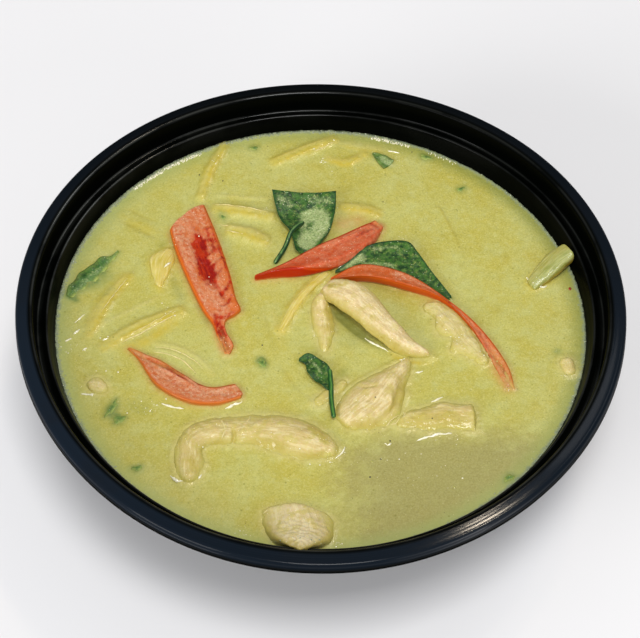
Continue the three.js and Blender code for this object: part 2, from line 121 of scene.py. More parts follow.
class Amount:
    """A number that varies over a surface."""

    def __init__(self, finish, socket):
        self.finish = finish
        self.socket = socket

    def math(self, operation, *others):
        values = dict(enumerate((self, *others)))
        return self.finish.node("ShaderNodeMath", {"operation": operation}, values)

    def __add__(self, other):
        return self.math("ADD", other)

    def __sub__(self, other):
        return self.math("SUBTRACT", other)

    def __rsub__(self, other):
        return self.finish.node("ShaderNodeMath", {"operation": "SUBTRACT"}, {0: other, 1: self})

    def __mul__(self, other):
        return self.math("MULTIPLY", other)

    __radd__ = __add__
    __rmul__ = __mul__

    def between(self, low, high):
        """0 below low, 1 above high, and a soft step from one to the other."""
        settings = {"interpolation_type": "SMOOTHSTEP"}
        return self.finish.node("ShaderNodeMapRange", settings, {"Value": self, 1: low, 2: high})

    def up_to_one(self):
        return self.math("MINIMUM", 1.0).math("MAXIMUM", 0.0)


def srgb(red, green, blue):
    """A colour as a screen shows it, 0 to 255, as the linear colour that a shader takes."""
    parts = [c / 255 for c in (red, green, blue)]
    return tuple(c / 12.92 if c <= 0.04045 else ((c + 0.055) / 1.055) ** 2.4 for c in parts) + (1.0,)


# %% A finish and its nodes


class Finish:
    """One material: its nodes end in a single Principled shader, and colour is what they made so far."""

    def __init__(self, name):
        self.material = bpy.data.materials.new(name)
        self.material.use_nodes = True
        self.tree = self.material.node_tree
        self.shader = self.tree.nodes["Principled BSDF"]
        place = self.node("ShaderNodeTexCoord", output="Object")
        self.place = self.node("ShaderNodeVectorMath", {"operation": "SCALE"}, {0: place, "Scale": 1 / MM})
        self.colour = None

    def node(self, kind, settings=None, sockets=None, output=0):
        made = self.tree.nodes.new(kind)
        for key, value in (settings or {}).items():
            setattr(made, key, value)
        for key, value in (sockets or {}).items():
            self.feed(made.inputs[key], value)
        return Amount(self, made.outputs[output])

    def feed(self, socket, value):
        if isinstance(value, Amount):
            self.tree.links.new(value.socket, socket)
        else:
            socket.default_value = value

    def set(self, **values):
        """Sockets of the shader, with spaces in their names written as underscores."""
        for key, value in values.items():
            self.feed(self.shader.inputs[key.replace("_", " ")], value)

    def height(self):
        """Height above the table, in millimetres."""
        return self.node("ShaderNodeSeparateXYZ", None, {0: self.place}, output="Z")

    def mask(self, name):
        """A number kept at each point of the mesh."""
        return self.node("ShaderNodeAttribute", {"attribute_name": name}, output="Fac")

    def grain(self, size, detail=3.0, roughness=0.55, stretch=(1, 1, 1), seed=0.0):
        """Soft noise around 0.5, its lumps about size millimetres across."""
        scale = tuple(1 / (size * s) for s in stretch)
        sockets = {0: self.place, 1: scale, 2: (seed, seed * 0.7, seed * 1.3)}
        where = self.node("ShaderNodeVectorMath", {"operation": "MULTIPLY_ADD"}, sockets)
        values = {"Vector": where, "Scale": 1.0, "Detail": detail, "Roughness": roughness}
        return self.node("ShaderNodeTexNoise", None, values, output="Fac")

    def dots(self, size, radius, share, seed=0.0):
        """Round spots: one at most for each cell of this size, and only in a share of the cells."""
        where = self.node("ShaderNodeVectorMath", {"operation": "ADD"}, {0: self.place, 1: (seed, seed, 0)})
        values = {"Vector": where, "Scale": 1 / size}
        near = self.node("ShaderNodeTexVoronoi", {"feature": "F1"}, values, output="Distance")
        cell = self.node("ShaderNodeTexVoronoi", {"feature": "F1"}, values, output="Color")
        chance = self.node("ShaderNodeSeparateColor", None, {0: cell}, output="Red")
        spot = 1 - near.between(0.5 * radius / size, radius / size)
        return spot * chance.math("LESS_THAN", share)

    def streaks(self, along, across, third, detail=3.0):
        """Noise drawn out along a piece, from three coordinates that are stretched one by one."""
        where = self.node("ShaderNodeCombineXYZ", None, {0: along, 1: across, 2: third})
        values = {"Vector": where, "Scale": 1.0, "Detail": detail}
        return self.node("ShaderNodeTexNoise", None, values, output="Fac")

    def mix(self, factor, first, second):
        settings = {"data_type": "RGBA"}
        return self.node("ShaderNodeMix", settings, {0: factor, 6: first, 7: second}, output=2)

    def paint(self, factor, colour):
        """Lays a colour over the colour so far: a factor of 0 leaves it, and 1 covers it."""
        self.colour = self.mix(factor, self.colour, colour)

    def shade(self, colour, amount):
        """The colour made lighter or darker: amount is 1 where it stays."""
        return self.node("ShaderNodeVectorMath", {"operation": "SCALE"}, {0: colour, "Scale": amount})

    def bump(self, height):
        """Relief too fine for the mesh. height is in millimetres."""
        sockets = {"Height": height, "Distance": MM, "Strength": 1.0}
        self.set(Normal=self.node("ShaderNodeBump", None, sockets))


# %% [markdown]
# ## Smooth lines and soft noise
#
# Food has no straight edges. A few points are enough for an outline if a Catmull-Rom curve runs through
# them, and its centripetal form never loops where points lie close together.

# %% Curves


def smooth_path(points, per_span=24):
    """Points along a centripetal Catmull-Rom curve through the given ones."""
    points = np.asarray(points, float)
    ends = [2 * points[0] - points[1], 2 * points[-1] - points[-2]]
    padded = np.vstack([ends[0], points, ends[1]])
    share = np.linspace(0, 1, per_span, endpoint=False)[:, None]
    spans = []
    for p0, p1, p2, p3 in zip(padded, padded[1:], padded[2:], padded[3:]):
        gaps = [math.sqrt(np.linalg.norm(b - a)) for a, b in ((p0, p1), (p1, p2), (p2, p3))]
        leave = (p1 - p0) / gaps[0] - (p2 - p0) / (gaps[0] + gaps[1]) + (p2 - p1) / gaps[1]
        arrive = (p2 - p1) / gaps[1] - (p3 - p1) / (gaps[1] + gaps[2]) + (p3 - p2) / gaps[2]
        leave, arrive = leave * gaps[1], arrive * gaps[1]
        square = -3 * p1 + 3 * p2 - 2 * leave - arrive
        cube = 2 * p1 - 2 * p2 + leave + arrive
        spans.append(p1 + leave * share + square * share**2 + cube * share**3)
    return np.vstack(spans + [points[-1:]])


def along_path(path, shares):
    """Points at these shares of a path's length, and the direction there."""
    steps = np.linalg.norm(np.diff(path, axis=0), axis=1)
    distance = np.append(0, np.cumsum(steps)) / steps.sum()
    places = np.column_stack([np.interp(shares, distance, column) for column in path.T])
    onward = np.gradient(places, shares, axis=0)
    return places, onward / np.linalg.norm(onward, axis=1)[:, None]


def blend(values, u):
    """A smooth value between a few evenly spaced ones, for u from 0 to 1."""
    if len(values) == 2:
        return np.interp(u, [0, 1], values)
    curve = smooth_path(list(enumerate(values)))
    return np.interp(np.asarray(u) * (len(values) - 1), curve[:, 0], curve[:, 1])


# %% Noise and strokes
OCTAVES = 3


def lumps(points, size, seed):
    """Soft random values, mostly from -1 to 1, that change over about size millimetres."""
    start = Vector((17.3 * seed, 5.1 * seed, 9.7 * seed))
    flat = np.asarray(points, float).reshape(-1, 3) / size
    values = [noise.fractal(Vector(p) + start, 1.0, 2.0, OCTAVES) for p in flat]
    return np.array(values).reshape(np.shape(points)[:-1])


def distance_to(path, xy):
    """Distance from each point to a smooth line, and the share of the line's length nearest to it."""
    line = smooth_path(path, 6)
    best = np.full(xy.shape[:-1], 1e9)
    share = np.zeros(xy.shape[:-1])
    for i, (a, b) in enumerate(zip(line, line[1:])):
        span = b - a
        t = np.clip(((xy - a) @ span) / max(span @ span, 1e-12), 0, 1)
        gap = np.linalg.norm(xy - a - t[..., None] * span, axis=-1)
        share = np.where(gap < best, (i + t) / (len(line) - 1), share)
        best = np.minimum(best, gap)
    return best, share


def stroke(xy, path, width, taper=0.25):
    """1 along a line, fading over its width and towards both ends."""
    xy = np.asarray(xy, float)
    made = np.zeros(xy.shape[:-1])
    reach = 3 * width
    path = np.asarray(path, float)
    near = np.all((xy > path.min(0) - reach) & (xy < path.max(0) + reach), axis=-1)
    if near.any():
        gap, share = distance_to(path, xy[near])
        ends = np.clip(np.minimum(share, 1 - share) / max(taper, 1e-6), 0, 1) if taper else 1.0
        made[near] = np.exp(-((gap / width) ** 2)) * (0.25 + 0.75 * ends)
    return made


def painted(points, lines):
    """Several strokes seen from above: each has its line, its width in mm and its strength."""
    made = np.zeros(points.shape[:-1])
    for path, width, strength in lines:
        made = made + strength * stroke(points[..., :2], path, width, taper=0)
    return made


def marked(points, marks, where):
    """How deep marks sink, and how strongly they colour: each has its line, width, depth and strength."""
    depth, tint = np.zeros(points.shape[:-1]), np.zeros(points.shape[:-1])
    for path, width, sink, strength in marks:
        made = stroke(points[..., :2], path, width) * where
        depth = depth + sink * made
        tint = tint + strength * made
    return depth, tint


# %% [markdown]
# ## The bowl
#
# A takeaway bowl is one thin sheet of plastic, formed in a mould: a flat foot, a round wall, a narrow
# ledge that the lid's plug and the next bowl in a stack rest on, and a flange that ends in a rolled
# skirt. Turning a profile about the axis makes all of it at once. Hot curry softens the plastic, so the
# circle is then pulled a little oval, which a modifier could do but a formula does exactly.

# %% Profile of the bowl
EASING_STEPS = 3


def arc(radius, height, size, from_degrees, to_degrees, steps=10):
    angles = np.radians(np.linspace(from_degrees, to_degrees, steps + 1))
    return [(radius + size * math.cos(a), height + size * math.sin(a)) for a in angles]


def lower_wall(offset, steps=40):
    """Points up the wall, moved outwards by offset."""
    foot, corner, top = (np.array(p) for p in (
        (BASE_RADIUS, SHELL), (WALL_CORNER_RADIUS, SHELL), (WALL_TOP_RADIUS, WALL_TOP)))
    points = []
    for t in np.linspace(0, 1, steps + 1):
        place = (1 - t) ** 2 * foot + 2 * t * (1 - t) * corner + t * t * top
        onward = (1 - t) * (corner - foot) + t * (top - corner)
        onward /= np.linalg.norm(onward)
        points.append((place[0] + onward[1] * offset, place[1] - onward[0] * offset))
    return points


def rounded(profile, radius):
    """The same profile with each of its corners eased over a short length."""
    points = [np.array(p, float) for p in profile]
    eased = [points[0]]
    for before, corner, after in zip(points, points[1:], points[2:]):
        reach_in = min(radius, np.linalg.norm(corner - before) / 2)
        reach_out = min(radius, np.linalg.norm(after - corner) / 2)
        start = corner + (before - corner) / np.linalg.norm(before - corner) * reach_in
        end = corner + (after - corner) / np.linalg.norm(after - corner) * reach_out
        for t in np.linspace(0, 1, EASING_STEPS + 1):
            eased.append((1 - t) ** 2 * start + 2 * t * (1 - t) * corner + t * t * end)
    return eased + [points[-1]]


def bowl_profile():
    """From the middle of the underside, over the rim, to the middle of the floor."""
    foot = BOWL_HEIGHT - SKIRT
    outside = rounded([
        (WALL_TOP_RADIUS + 1.0, WALL_TOP - 1.6),
        (WALL_TOP_RADIUS + 1.9, WALL_TOP - 0.3),
        (LEDGE_RADIUS + 0.8, WALL_TOP - 0.8),
        (LEDGE_RADIUS + 1.35, WALL_TOP - 0.1),
        (UPPER_WALL_RADIUS + 1, BOWL_HEIGHT - 2),
        (UPPER_WALL_RADIUS + 1.8, BOWL_HEIGHT - 1.2),
        (RIM_RADIUS - 2, BOWL_HEIGHT - 1.4),
        (RIM_RADIUS - 1.2, foot + 2.3),
        (RIM_RADIUS - 1.1, foot),
        (RIM_RADIUS - 0.3, foot),
        (RIM_RADIUS, foot + 0.6),
        (RIM_RADIUS - 0.2, foot + 1),
        (RIM_RADIUS - 0.2, BOWL_HEIGHT - 1.7),
    ], 0.3)
    bead = WALL_TOP_RADIUS + 0.9
    crest = UPPER_WALL_RADIUS + 1.2
    flange = [
        *arc(RIM_RADIUS - 1.5, BOWL_HEIGHT - 1.7, 1.3, 0, 85),
        (RIM_RADIUS - 2.6, BOWL_HEIGHT - 0.42),
        (crest + 0.9, BOWL_HEIGHT - 0.12),
        *arc(crest, BOWL_HEIGHT - 1.2, 1.2, 90, 180),
        (UPPER_WALL_RADIUS - 0.02, BOWL_HEIGHT - 1.8),
    ]
    ledge = rounded([
        (LEDGE_RADIUS + 0.62, WALL_TOP + 2.4),
        (LEDGE_RADIUS + 0.5, WALL_TOP + 1.1),
        (LEDGE_RADIUS + 0.45, WALL_TOP + 0.5),
        (LEDGE_RADIUS, WALL_TOP),
        (bead + 1.1, WALL_TOP + 0.12),
    ], 0.25)
    lip = arc(bead, WALL_TOP + 0.6, 0.6, 60, 160, 8)
    inside = lower_wall(0)[::-1]
    return [(0, 0), *lower_wall(SHELL)[:-1], *outside, *flange, *ledge, *lip, *inside[1:], (0, SHELL)]


# %% Softening the circle, and turning the profile


def softening(angle, height):
    """How far a point at this angle and height leaves the true circle."""
    share = (np.maximum(height, 0) / BOWL_HEIGHT) ** 0.8
    oval = OVAL[0] * np.cos(2 * (angle - OVAL[1]))
    lobes = THREE_LOBED[0] * np.cos(3 * (angle - THREE_LOBED[1]))
    lift = TWIST[0] * np.cos(2 * (angle - TWIST[1]))
    return 1 + share * (oval + lobes), share * lift


# More sides than the solid has reach a hair higher where the rim twists, and this takes it off again.
FINER_RINGS = 0.99995


def turn(profile, sides):
    """A profile turned about the upright axis: its points, ring by ring, and its faces."""
    angles = np.linspace(0, 2 * np.pi, sides, endpoint=False)
    rings = []
    for radius, height in profile[1:-1]:
        stretch, lift = softening(angles, height)
        upright = (height + lift) * FINER_RINGS
        rings.append(np.column_stack([radius * stretch * np.cos(angles),
                                      radius * stretch * np.sin(angles), upright]))
    count = len(rings)
    points = np.vstack([*rings, [(0, 0, profile[0][1])], [(0, 0, profile[-1][1])]])
    faces = []
    for i in range(count - 1):
        for j in range(sides):
            k = (j + 1) % sides
            faces.append((i * sides + j, i * sides + k, (i + 1) * sides + k, (i + 1) * sides + j))
    first, last = count * sides, count * sides + 1
    for j in range(sides):
        k = (j + 1) % sides
        faces.append((first, k, j))
        faces.append((last, (count - 1) * sides + j, (count - 1) * sides + k))
    return points, faces


# %% Making a mesh that rides with the frame


def enclosed(points, faces):
    """The volume inside a closed mesh, below zero if its faces look inwards."""
    corners = np.array([(f[0], f[i], f[i + 1]) for f in faces for i in range(1, len(f) - 1)])
    a, b, c = np.asarray(points)[corners].transpose(1, 0, 2)
    return float(np.sum(np.cross(a, b) * c) / 6)


def make_piece(name, points, faces, finish, stands_for=(), masks=None):
    mesh = bpy.data.meshes.new(name)
    mesh.from_pydata(to_frame(points).tolist(), [], faces)
    mesh.polygons.foreach_set("use_smooth", [True] * len(mesh.polygons))
    for key, values in (masks or {}).items():
        layer = mesh.attributes.new(key, "FLOAT", "POINT")
        layer.data.foreach_set("value", np.asarray(values, np.float32).ravel())
    mesh.materials.append(finish.material)
    if enclosed(points, faces) < 0:
        mesh.flip_normals()
    mesh.update()
    piece = bpy.data.objects.new(name, mesh)
    bpy.context.scene.collection.objects.link(piece)
    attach(piece, "root")
    if stands_for:
        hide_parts(*stands_for)


# %% Black plastic
# Fine rings that the mould leaves: the radians of their wave for each mm, and their height in mm.
MOULD_RINGS = (9.0, 0.01)


def black_plastic():
    """Polypropylene from a mould: black inside, glossy on the flange with a painted blue-grey sheen, and
    painted highlights on its thin edges.
    """
    finish = Finish("black_plastic")
    flange, edge_gloss_and_painted_highlight, polish = (finish.mask(key) for key in ("flange", "edge_gloss_and_painted_highlight", "polish"))
    cloud = finish.grain(14, detail=4)
    fine = finish.grain(0.35, detail=2)
    outside = finish.node("ShaderNodeVectorMath", {"operation": "MULTIPLY"}, {0: finish.place, 1: (1, 1, 0)})
    radius = finish.node("ShaderNodeVectorMath", {"operation": "LENGTH"}, {0: outside}, output="Value")
    # The flange's blue-grey is a painted sheen. Its mask is faint on the far side and strong on the near
    # side.
    finish.colour = finish.mix(flange, srgb(2, 3, 2), srgb(17, 26, 36))
    finish.paint(cloud.between(0.45, 0.7) * 0.4 * flange, srgb(19, 22, 27))
    # Painted highlight: the three thin edges drawn grey-white.
    finish.paint(edge_gloss_and_painted_highlight * cloud.between(0.35, 0.6) * 0.5, srgb(84, 86, 80))
    rings = (radius * MOULD_RINGS[0]).math("SINE") * MOULD_RINGS[1]
    finish.set(Base_Color=finish.colour, Roughness=0.2 + 0.16 * cloud + 0.05 * fine)
    finish.set(Specular_IOR_Level=0.02)
    finish.set(Coat_Weight=(polish + edge_gloss_and_painted_highlight).up_to_one(), Coat_Roughness=0.12)
    finish.bump(rings + 0.006 * fine + 0.05 * finish.grain(9, detail=2))
    return finish


def shine(profile):
    """For each ring: 1 on the flange's top, and 1 on the three thin edges that are glossy and carry a
    painted highlight.
    """
    crest = UPPER_WALL_RADIUS + 1.2
    edges = [(crest - 0.55, BOWL_HEIGHT - 0.14), (LEDGE_RADIUS + 0.1, WALL_TOP + 0.1),
             (WALL_TOP_RADIUS + 0.6, WALL_TOP + 1.15)]
    flange, edge_gloss_and_painted_highlight = [], []
    for radius, height in profile[1:-1]:
        on_top = radius > crest + 0.2 and height > BOWL_HEIGHT - 1.8
        flange.append(float(on_top))
        nearest = min(math.hypot(radius - r, height - h) for r, h in edges)
        edge_gloss_and_painted_highlight.append(math.exp(-((nearest / 0.3) ** 2)))
    return {"flange": flange, "edge_gloss_and_painted_highlight": edge_gloss_and_painted_highlight}


def around_rim(angles, middle, width):
    """1 at one place on the rim, fading over a width on both sides of it. All are in degrees."""
    return np.exp(-(((np.degrees(angles) - middle) / width) ** 2))


# Three places on the rim, each with how far it fades to both sides, in degrees: where the flange's painted
# sheen is strongest, a patch that fingers have made glossy, and where the thin edges' painted highlight is
# brightest.
SHEEN_STRONGEST = (205, 35)
HANDLED = (301, 8)
BRIGHTEST = (145, 34)
BOWL_SIDES = 288
angles = np.linspace(0, 2 * np.pi, BOWL_SIDES, endpoint=False)
# Painted sheen on the flange, by angle: faint on the far side, strongest at the near left.
flange_painted_sheen = np.clip(0.62 - 0.52 * np.sin(angles), 0.1, 0.66) + 0.38 * around_rim(angles, *SHEEN_STRONGEST)
handled = 0.2 * flange_painted_sheen + 0.8 * around_rim(angles, *HANDLED)
# Painted highlight on the thin edges, by angle: brightest at the far left, and stronger on the near side
# than the far.
bright = 0.2 + 0.65 * around_rim(angles, *BRIGHTEST) + 0.3 * np.clip(-np.sin(angles), 0, 1)
points, faces = turn(bowl_profile(), BOWL_SIDES)
edges = shine(bowl_profile())
masks = {"flange": np.outer(edges["flange"], flange_painted_sheen), "edge_gloss_and_painted_highlight": np.outer(edges["edge_gloss_and_painted_highlight"], bright),
         "polish": np.outer(edges["flange"], handled)}
masks = {key: np.append(values, [0, 0]) for key, values in masks.items()}
make_piece("bowl_moulding", points, faces, black_plastic(), ["bowl"], masks)
print("bowl:", len(faces), "faces")

# %% [markdown]
# ## A piece of food between two edges
#
# Every strip, slice and leaf lies between a left edge and a right edge, seen from above, with a top and
# an underside between them. Rows of points run across it, and each row is one closed ring with a
# rounded section, so that skin, cut face and underside belong to one surface. The rings shrink to a
# point at both ends. A subdivided box would also do, but here each point knows its place: u runs along
# the piece, v across it, and w from its underside to its top. The finishes are painted by these.

# %% Rings of points for a piece
END_ROWS = 7


def section(width, thickness, squareness, count):
    """Evenly spaced points round a rounded section: v across it and w up it, each from -1 to 1."""
    angle = np.linspace(0, 2 * np.pi, 2400)
    v = np.sign(np.cos(angle)) * np.abs(np.cos(angle)) ** (2 / squareness)
    w = np.sign(np.sin(angle)) * np.abs(np.sin(angle)) ** (2 / squareness)
    steps = np.hypot(np.diff(v) * width / 2, np.diff(w) * thickness / 2)
    distance = np.append(0, np.cumsum(steps)) / steps.sum()
    shares = np.linspace(0, 1, count, endpoint=False)
    return np.interp(shares, distance, v), np.interp(shares, distance, w)


def row_places(length, step, end, sharpness):
    """Where the rows go along a piece, and how far open each one is: 0 at the two tips."""
    closing = end * (1 - np.cos(np.linspace(0, np.pi / 2, END_ROWS + 1)))
    middle = np.linspace(end, length - end, max(3, int((length - 2 * end) / step)))
    along = np.concatenate([closing[:-1], middle, length - closing[:-1][::-1]])
    nearest = np.minimum(along, length - along)
    shut = 1 - np.clip(nearest / end, 0, 1)
    return along / length, (1 - shut**sharpness) ** (1 / sharpness)


def loft(left, right, heights, flare=(0, 0), bow=(0, 0), squareness=2.2, end=1.5, sharpness=2.0,
         step=0.42):
    """The points of a piece as rows of rings, with u, v, w at each."""
    edges = [smooth_path(left), smooth_path(right)]
    lengths = [np.linalg.norm(np.diff(e, axis=0), axis=1).sum() for e in edges]
    length = sum(lengths) / 2
    u, opening = row_places(length, step, min(end, 0.45 * length), sharpness)
    (a, a_way), (b, b_way) = (along_path(e, u) for e in edges)
    middle, half = (a + b) / 2, (b - a) / 2
    onward = (a_way + b_way) / np.linalg.norm(a_way + b_way, axis=1)[:, None]
    width = 2 * np.linalg.norm(half, axis=1)
    top, under = heights(np.array([0.5]), np.array([0.0]))
    thickness = float(top[0] - under[0])
    count = int(np.clip(2 * (width.max() + thickness) / step, 20, 120) // 2 * 2)
    v, w = section(width.max(), thickness, squareness, count)
    u2, v2, w2 = u[:, None] + 0 * v, opening[:, None] * v, opening[:, None] * w
    tips = np.clip(np.minimum(5 * u2, 5 * (1 - u2)), 0, 1)
    spread = tips * (1 - w2) / 2 * np.where(v2 < 0, flare[0], flare[1])
    reach = v2 * (1 + spread / np.maximum(width[:, None] / 2, 0.2))
    xy = middle[:, None, :] + half[:, None, :] * reach[..., None]
    round_ = 1 - v2**2
    ends = np.maximum(0, 4 * u2 - 3) * bow[1] * round_ - np.maximum(0, 1 - 4 * u2) * bow[0] * round_
    xy = xy + onward[:, None, :] * ends[..., None]
    top, under = heights(u2, v2)
    z = CURRY_LEVEL + (top + under) / 2 + w2 * (top - under) / 2
    return {"points": np.dstack([xy, z]), "u": u2, "v": v2, "w": w2, "length": length, "width": width}


def outward(points):
    """The direction that faces away from the piece at each of its points."""
    down = np.gradient(points, axis=0)
    around = np.roll(points, -1, axis=1) - np.roll(points, 1, axis=1)
    normal = np.cross(down, around)
    normal /= np.maximum(np.linalg.norm(normal, axis=-1), 1e-9)[..., None]
    centre = points.mean(axis=1, keepdims=True)
    turned_in = np.sum(normal * (points - centre)) < 0
    return -normal if turned_in else normal


def skin_faces(rings, count):
    """Quads between the rings and a fan of triangles at each tip. Point 0 is the first tip."""
    ring = np.arange(count)
    after = (ring + 1) % count
    starts = 1 + count * np.arange(rings)
    quads = [np.column_stack([a + ring, a + after, b + after, b + ring])
             for a, b in zip(starts, starts[1:])]
    first = [(0, int(starts[0] + k), int(starts[0] + j)) for j, k in zip(ring, after)]
    tip = 1 + count * rings
    last = [(tip, int(starts[-1] + j), int(starts[-1] + k)) for j, k in zip(ring, after)]
    return np.vstack(quads).tolist() + first + last


def close_ends(values):
    """A value for each point of the mesh, whose first and last rings are single points."""
    values = np.asarray(values)
    return np.concatenate([values[:1, 0], values[1:-1].reshape(-1, *values.shape[2:]), values[-1:, 0]])


def closed(points):
    """Rows of rings as the points and faces of a closed mesh."""
    return close_ends(points), skin_faces(points.shape[0] - 2, points.shape[1])


WALL = np.array([(r, z) for r, z in lower_wall(0)] + [(LEDGE_RADIUS, WALL_TOP + 0.2),
                                                      (UPPER_WALL_RADIUS, BOWL_HEIGHT + 5)])
WALL_CLEARANCE = 0.35


def inside_bowl(points):
    """Pulls back whatever would pass through the bowl's wall."""
    x, y, z = np.moveaxis(points, -1, 0)
    stretch, lift = softening(np.arctan2(y, x), z)
    limit = (np.interp(z - lift, WALL[:, 1], WALL[:, 0]) - WALL_CLEARANCE) * stretch
    shrink = np.minimum(1, limit / np.maximum(np.hypot(x, y), 1e-6))
    return np.dstack([x * shrink, y * shrink, z])


# Every piece so far: its kind, how far the curry creeps over it, and its points and faces.
FOOD = []
# How far the curry creeps over each kind of piece: 0 only wets its edge, 1 closes over its top.
CREEP = {
    "bamboo": 1.0, "bamboo_middle": 0.6, "bamboo_stub": 0.4, "bamboo_chunk": 0.1, "basil": 0.2,
    "basil_left": 0.2, "basil_scrap": 0.35, "chicken": 0.2, "chicken_far_right": 0.25,
    "chicken_small": 0.4, "lump": 0.2, "pepper": 0.15, "herb": 0.3,
}


def food(name, shape, finish, kind, relief=None, masks=None):
    """Makes the piece that stands for a solid: relief is how far each point moves outwards, in mm."""
    points = shape["points"]
    if relief is not None:
        points = points + outward(points) * relief[..., None]
    points = inside_bowl(points)
    half = np.maximum(shape["width"][:, None] / 2, 0.2)
    kept = {
        "along": shape["u"] * shape["length"],
        "across": shape["v"] * half,
        "share": shape["u"],
        "height": shape["w"],
        **(masks or {}),
    }
    vertices, faces = closed(points)
    kept = {key: close_ends(values) for key, values in kept.items()}
    make_piece(name + "_piece", vertices, faces, finish, [name], kept)
    FOOD.append((kind, CREEP.get(name, CREEP[name.split("_")[0]]), vertices, faces))


# %% [markdown]
# ## Red pepper
#
# A strip of cooked pepper has three looks on one piece: granular salmon flesh where the knife and the
# wall's inside show, an orange line where the skin was cut, and glossy red skin down its sides. One
# measure paints all three: the distance in from the cut edge, which goes below zero down the skin.

# %% The finish of red pepper


def pepper_finish(name, flesh, pale, line, skin, frost):
    finish = Finish(name)
    edge, pit, film, glow = (finish.mask(key) for key in ("edge", "pit", "film", "glow"))
    fine = finish.grain(0.42, detail=4, roughness=0.75)
    soft = finish.grain(2.4, detail=3)
    clumps = finish.grain(1.2, detail=4, roughness=0.65, seed=2.0)
    along, across = finish.mask("along"), finish.mask("across")
    fibre = finish.streaks(along * 0.2, across * 1.1, soft)
    finish.colour = finish.mix((0.45 * fine + 0.55 * fibre).between(0.36, 0.64), flesh, pale)
    finish.paint(soft.between(0.48, 0.68) * 0.35, line)
    finish.paint(glow.up_to_one() * (0.45 + 0.8 * fine).up_to_one(), line)
    frosted = clumps.between(0.3, 0.7) * (0.55 + 0.45 * fine.between(0.3, 0.6))
    frosted = frosted * (1 - 0.75 * glow.up_to_one())
    finish.paint(frosted * edge.between(0.4, 1.4) * frost, srgb(226, 180, 142))
    blush = finish.grain(1.8, detail=4, roughness=0.6, seed=7.0).between(0.52, 0.68) * edge.between(0.3, 1.2)
    finish.paint(blush * 0.55, line)
    red_grain = (1 - fine.between(0.3, 0.42)) * edge.between(0.4, 1.0)
    finish.paint(red_grain * 0.3, line)
    # Painted glints: small near-white dots on the flesh.
    painted_glints = finish.dots(0.62, 0.15, 0.4) * edge.between(0.3, 0.9) * clumps.between(0.4, 0.6)
    finish.paint(painted_glints * 0.85, srgb(255, 236, 218))
    wander = 0.5 * (soft - 0.5) + 0.6 * (clumps - 0.5)
    finish.paint(1 - (edge + wander).between(0.1, 0.9), line)
    finish.paint(1 - (edge + wander).between(-1.1, -0.05), skin)
    blood = (pit + 0.9 * (clumps - 0.5) + 0.5 * (fine - 0.5)).between(0.05, 0.6)
    red = finish.mix(fibre.between(0.38, 0.6), srgb(146, 12, 0), srgb(188, 48, 2))
    finish.paint(blood * pit.between(0.02, 0.2), red)
    ragged = finish.height() + 0.9 * (soft - 0.5) + 0.6 * (fine - 0.5)
    low = 1 - ragged.between(CURRY_LEVEL - 0.1, CURRY_LEVEL + 1.3)
    finish.paint((film * (0.5 + clumps) + 0.7 * low).up_to_one(), srgb(200, 160, 84))
    wet = (1 - edge.between(-0.2, 0.4)) + 0.7 * pit
    finish.set(Base_Color=finish.colour, Roughness=(0.44 - 0.2 * wet.up_to_one() + 0.1 * fine).up_to_one())
    finish.set(Subsurface_Weight=0.2, Subsurface_Scale=0.001, Subsurface_Radius=(1.0, 0.35, 0.15))
    finish.set(Specular_IOR_Level=0.15, Coat_Weight=(0.05 + 0.2 * wet.up_to_one()).up_to_one())
    finish.set(Coat_Roughness=0.12)
    grainy = edge.between(0.1, 0.6)
    finish.bump((0.26 * fine + 0.14 * clumps) * grainy + 0.04 * soft)
    return finish


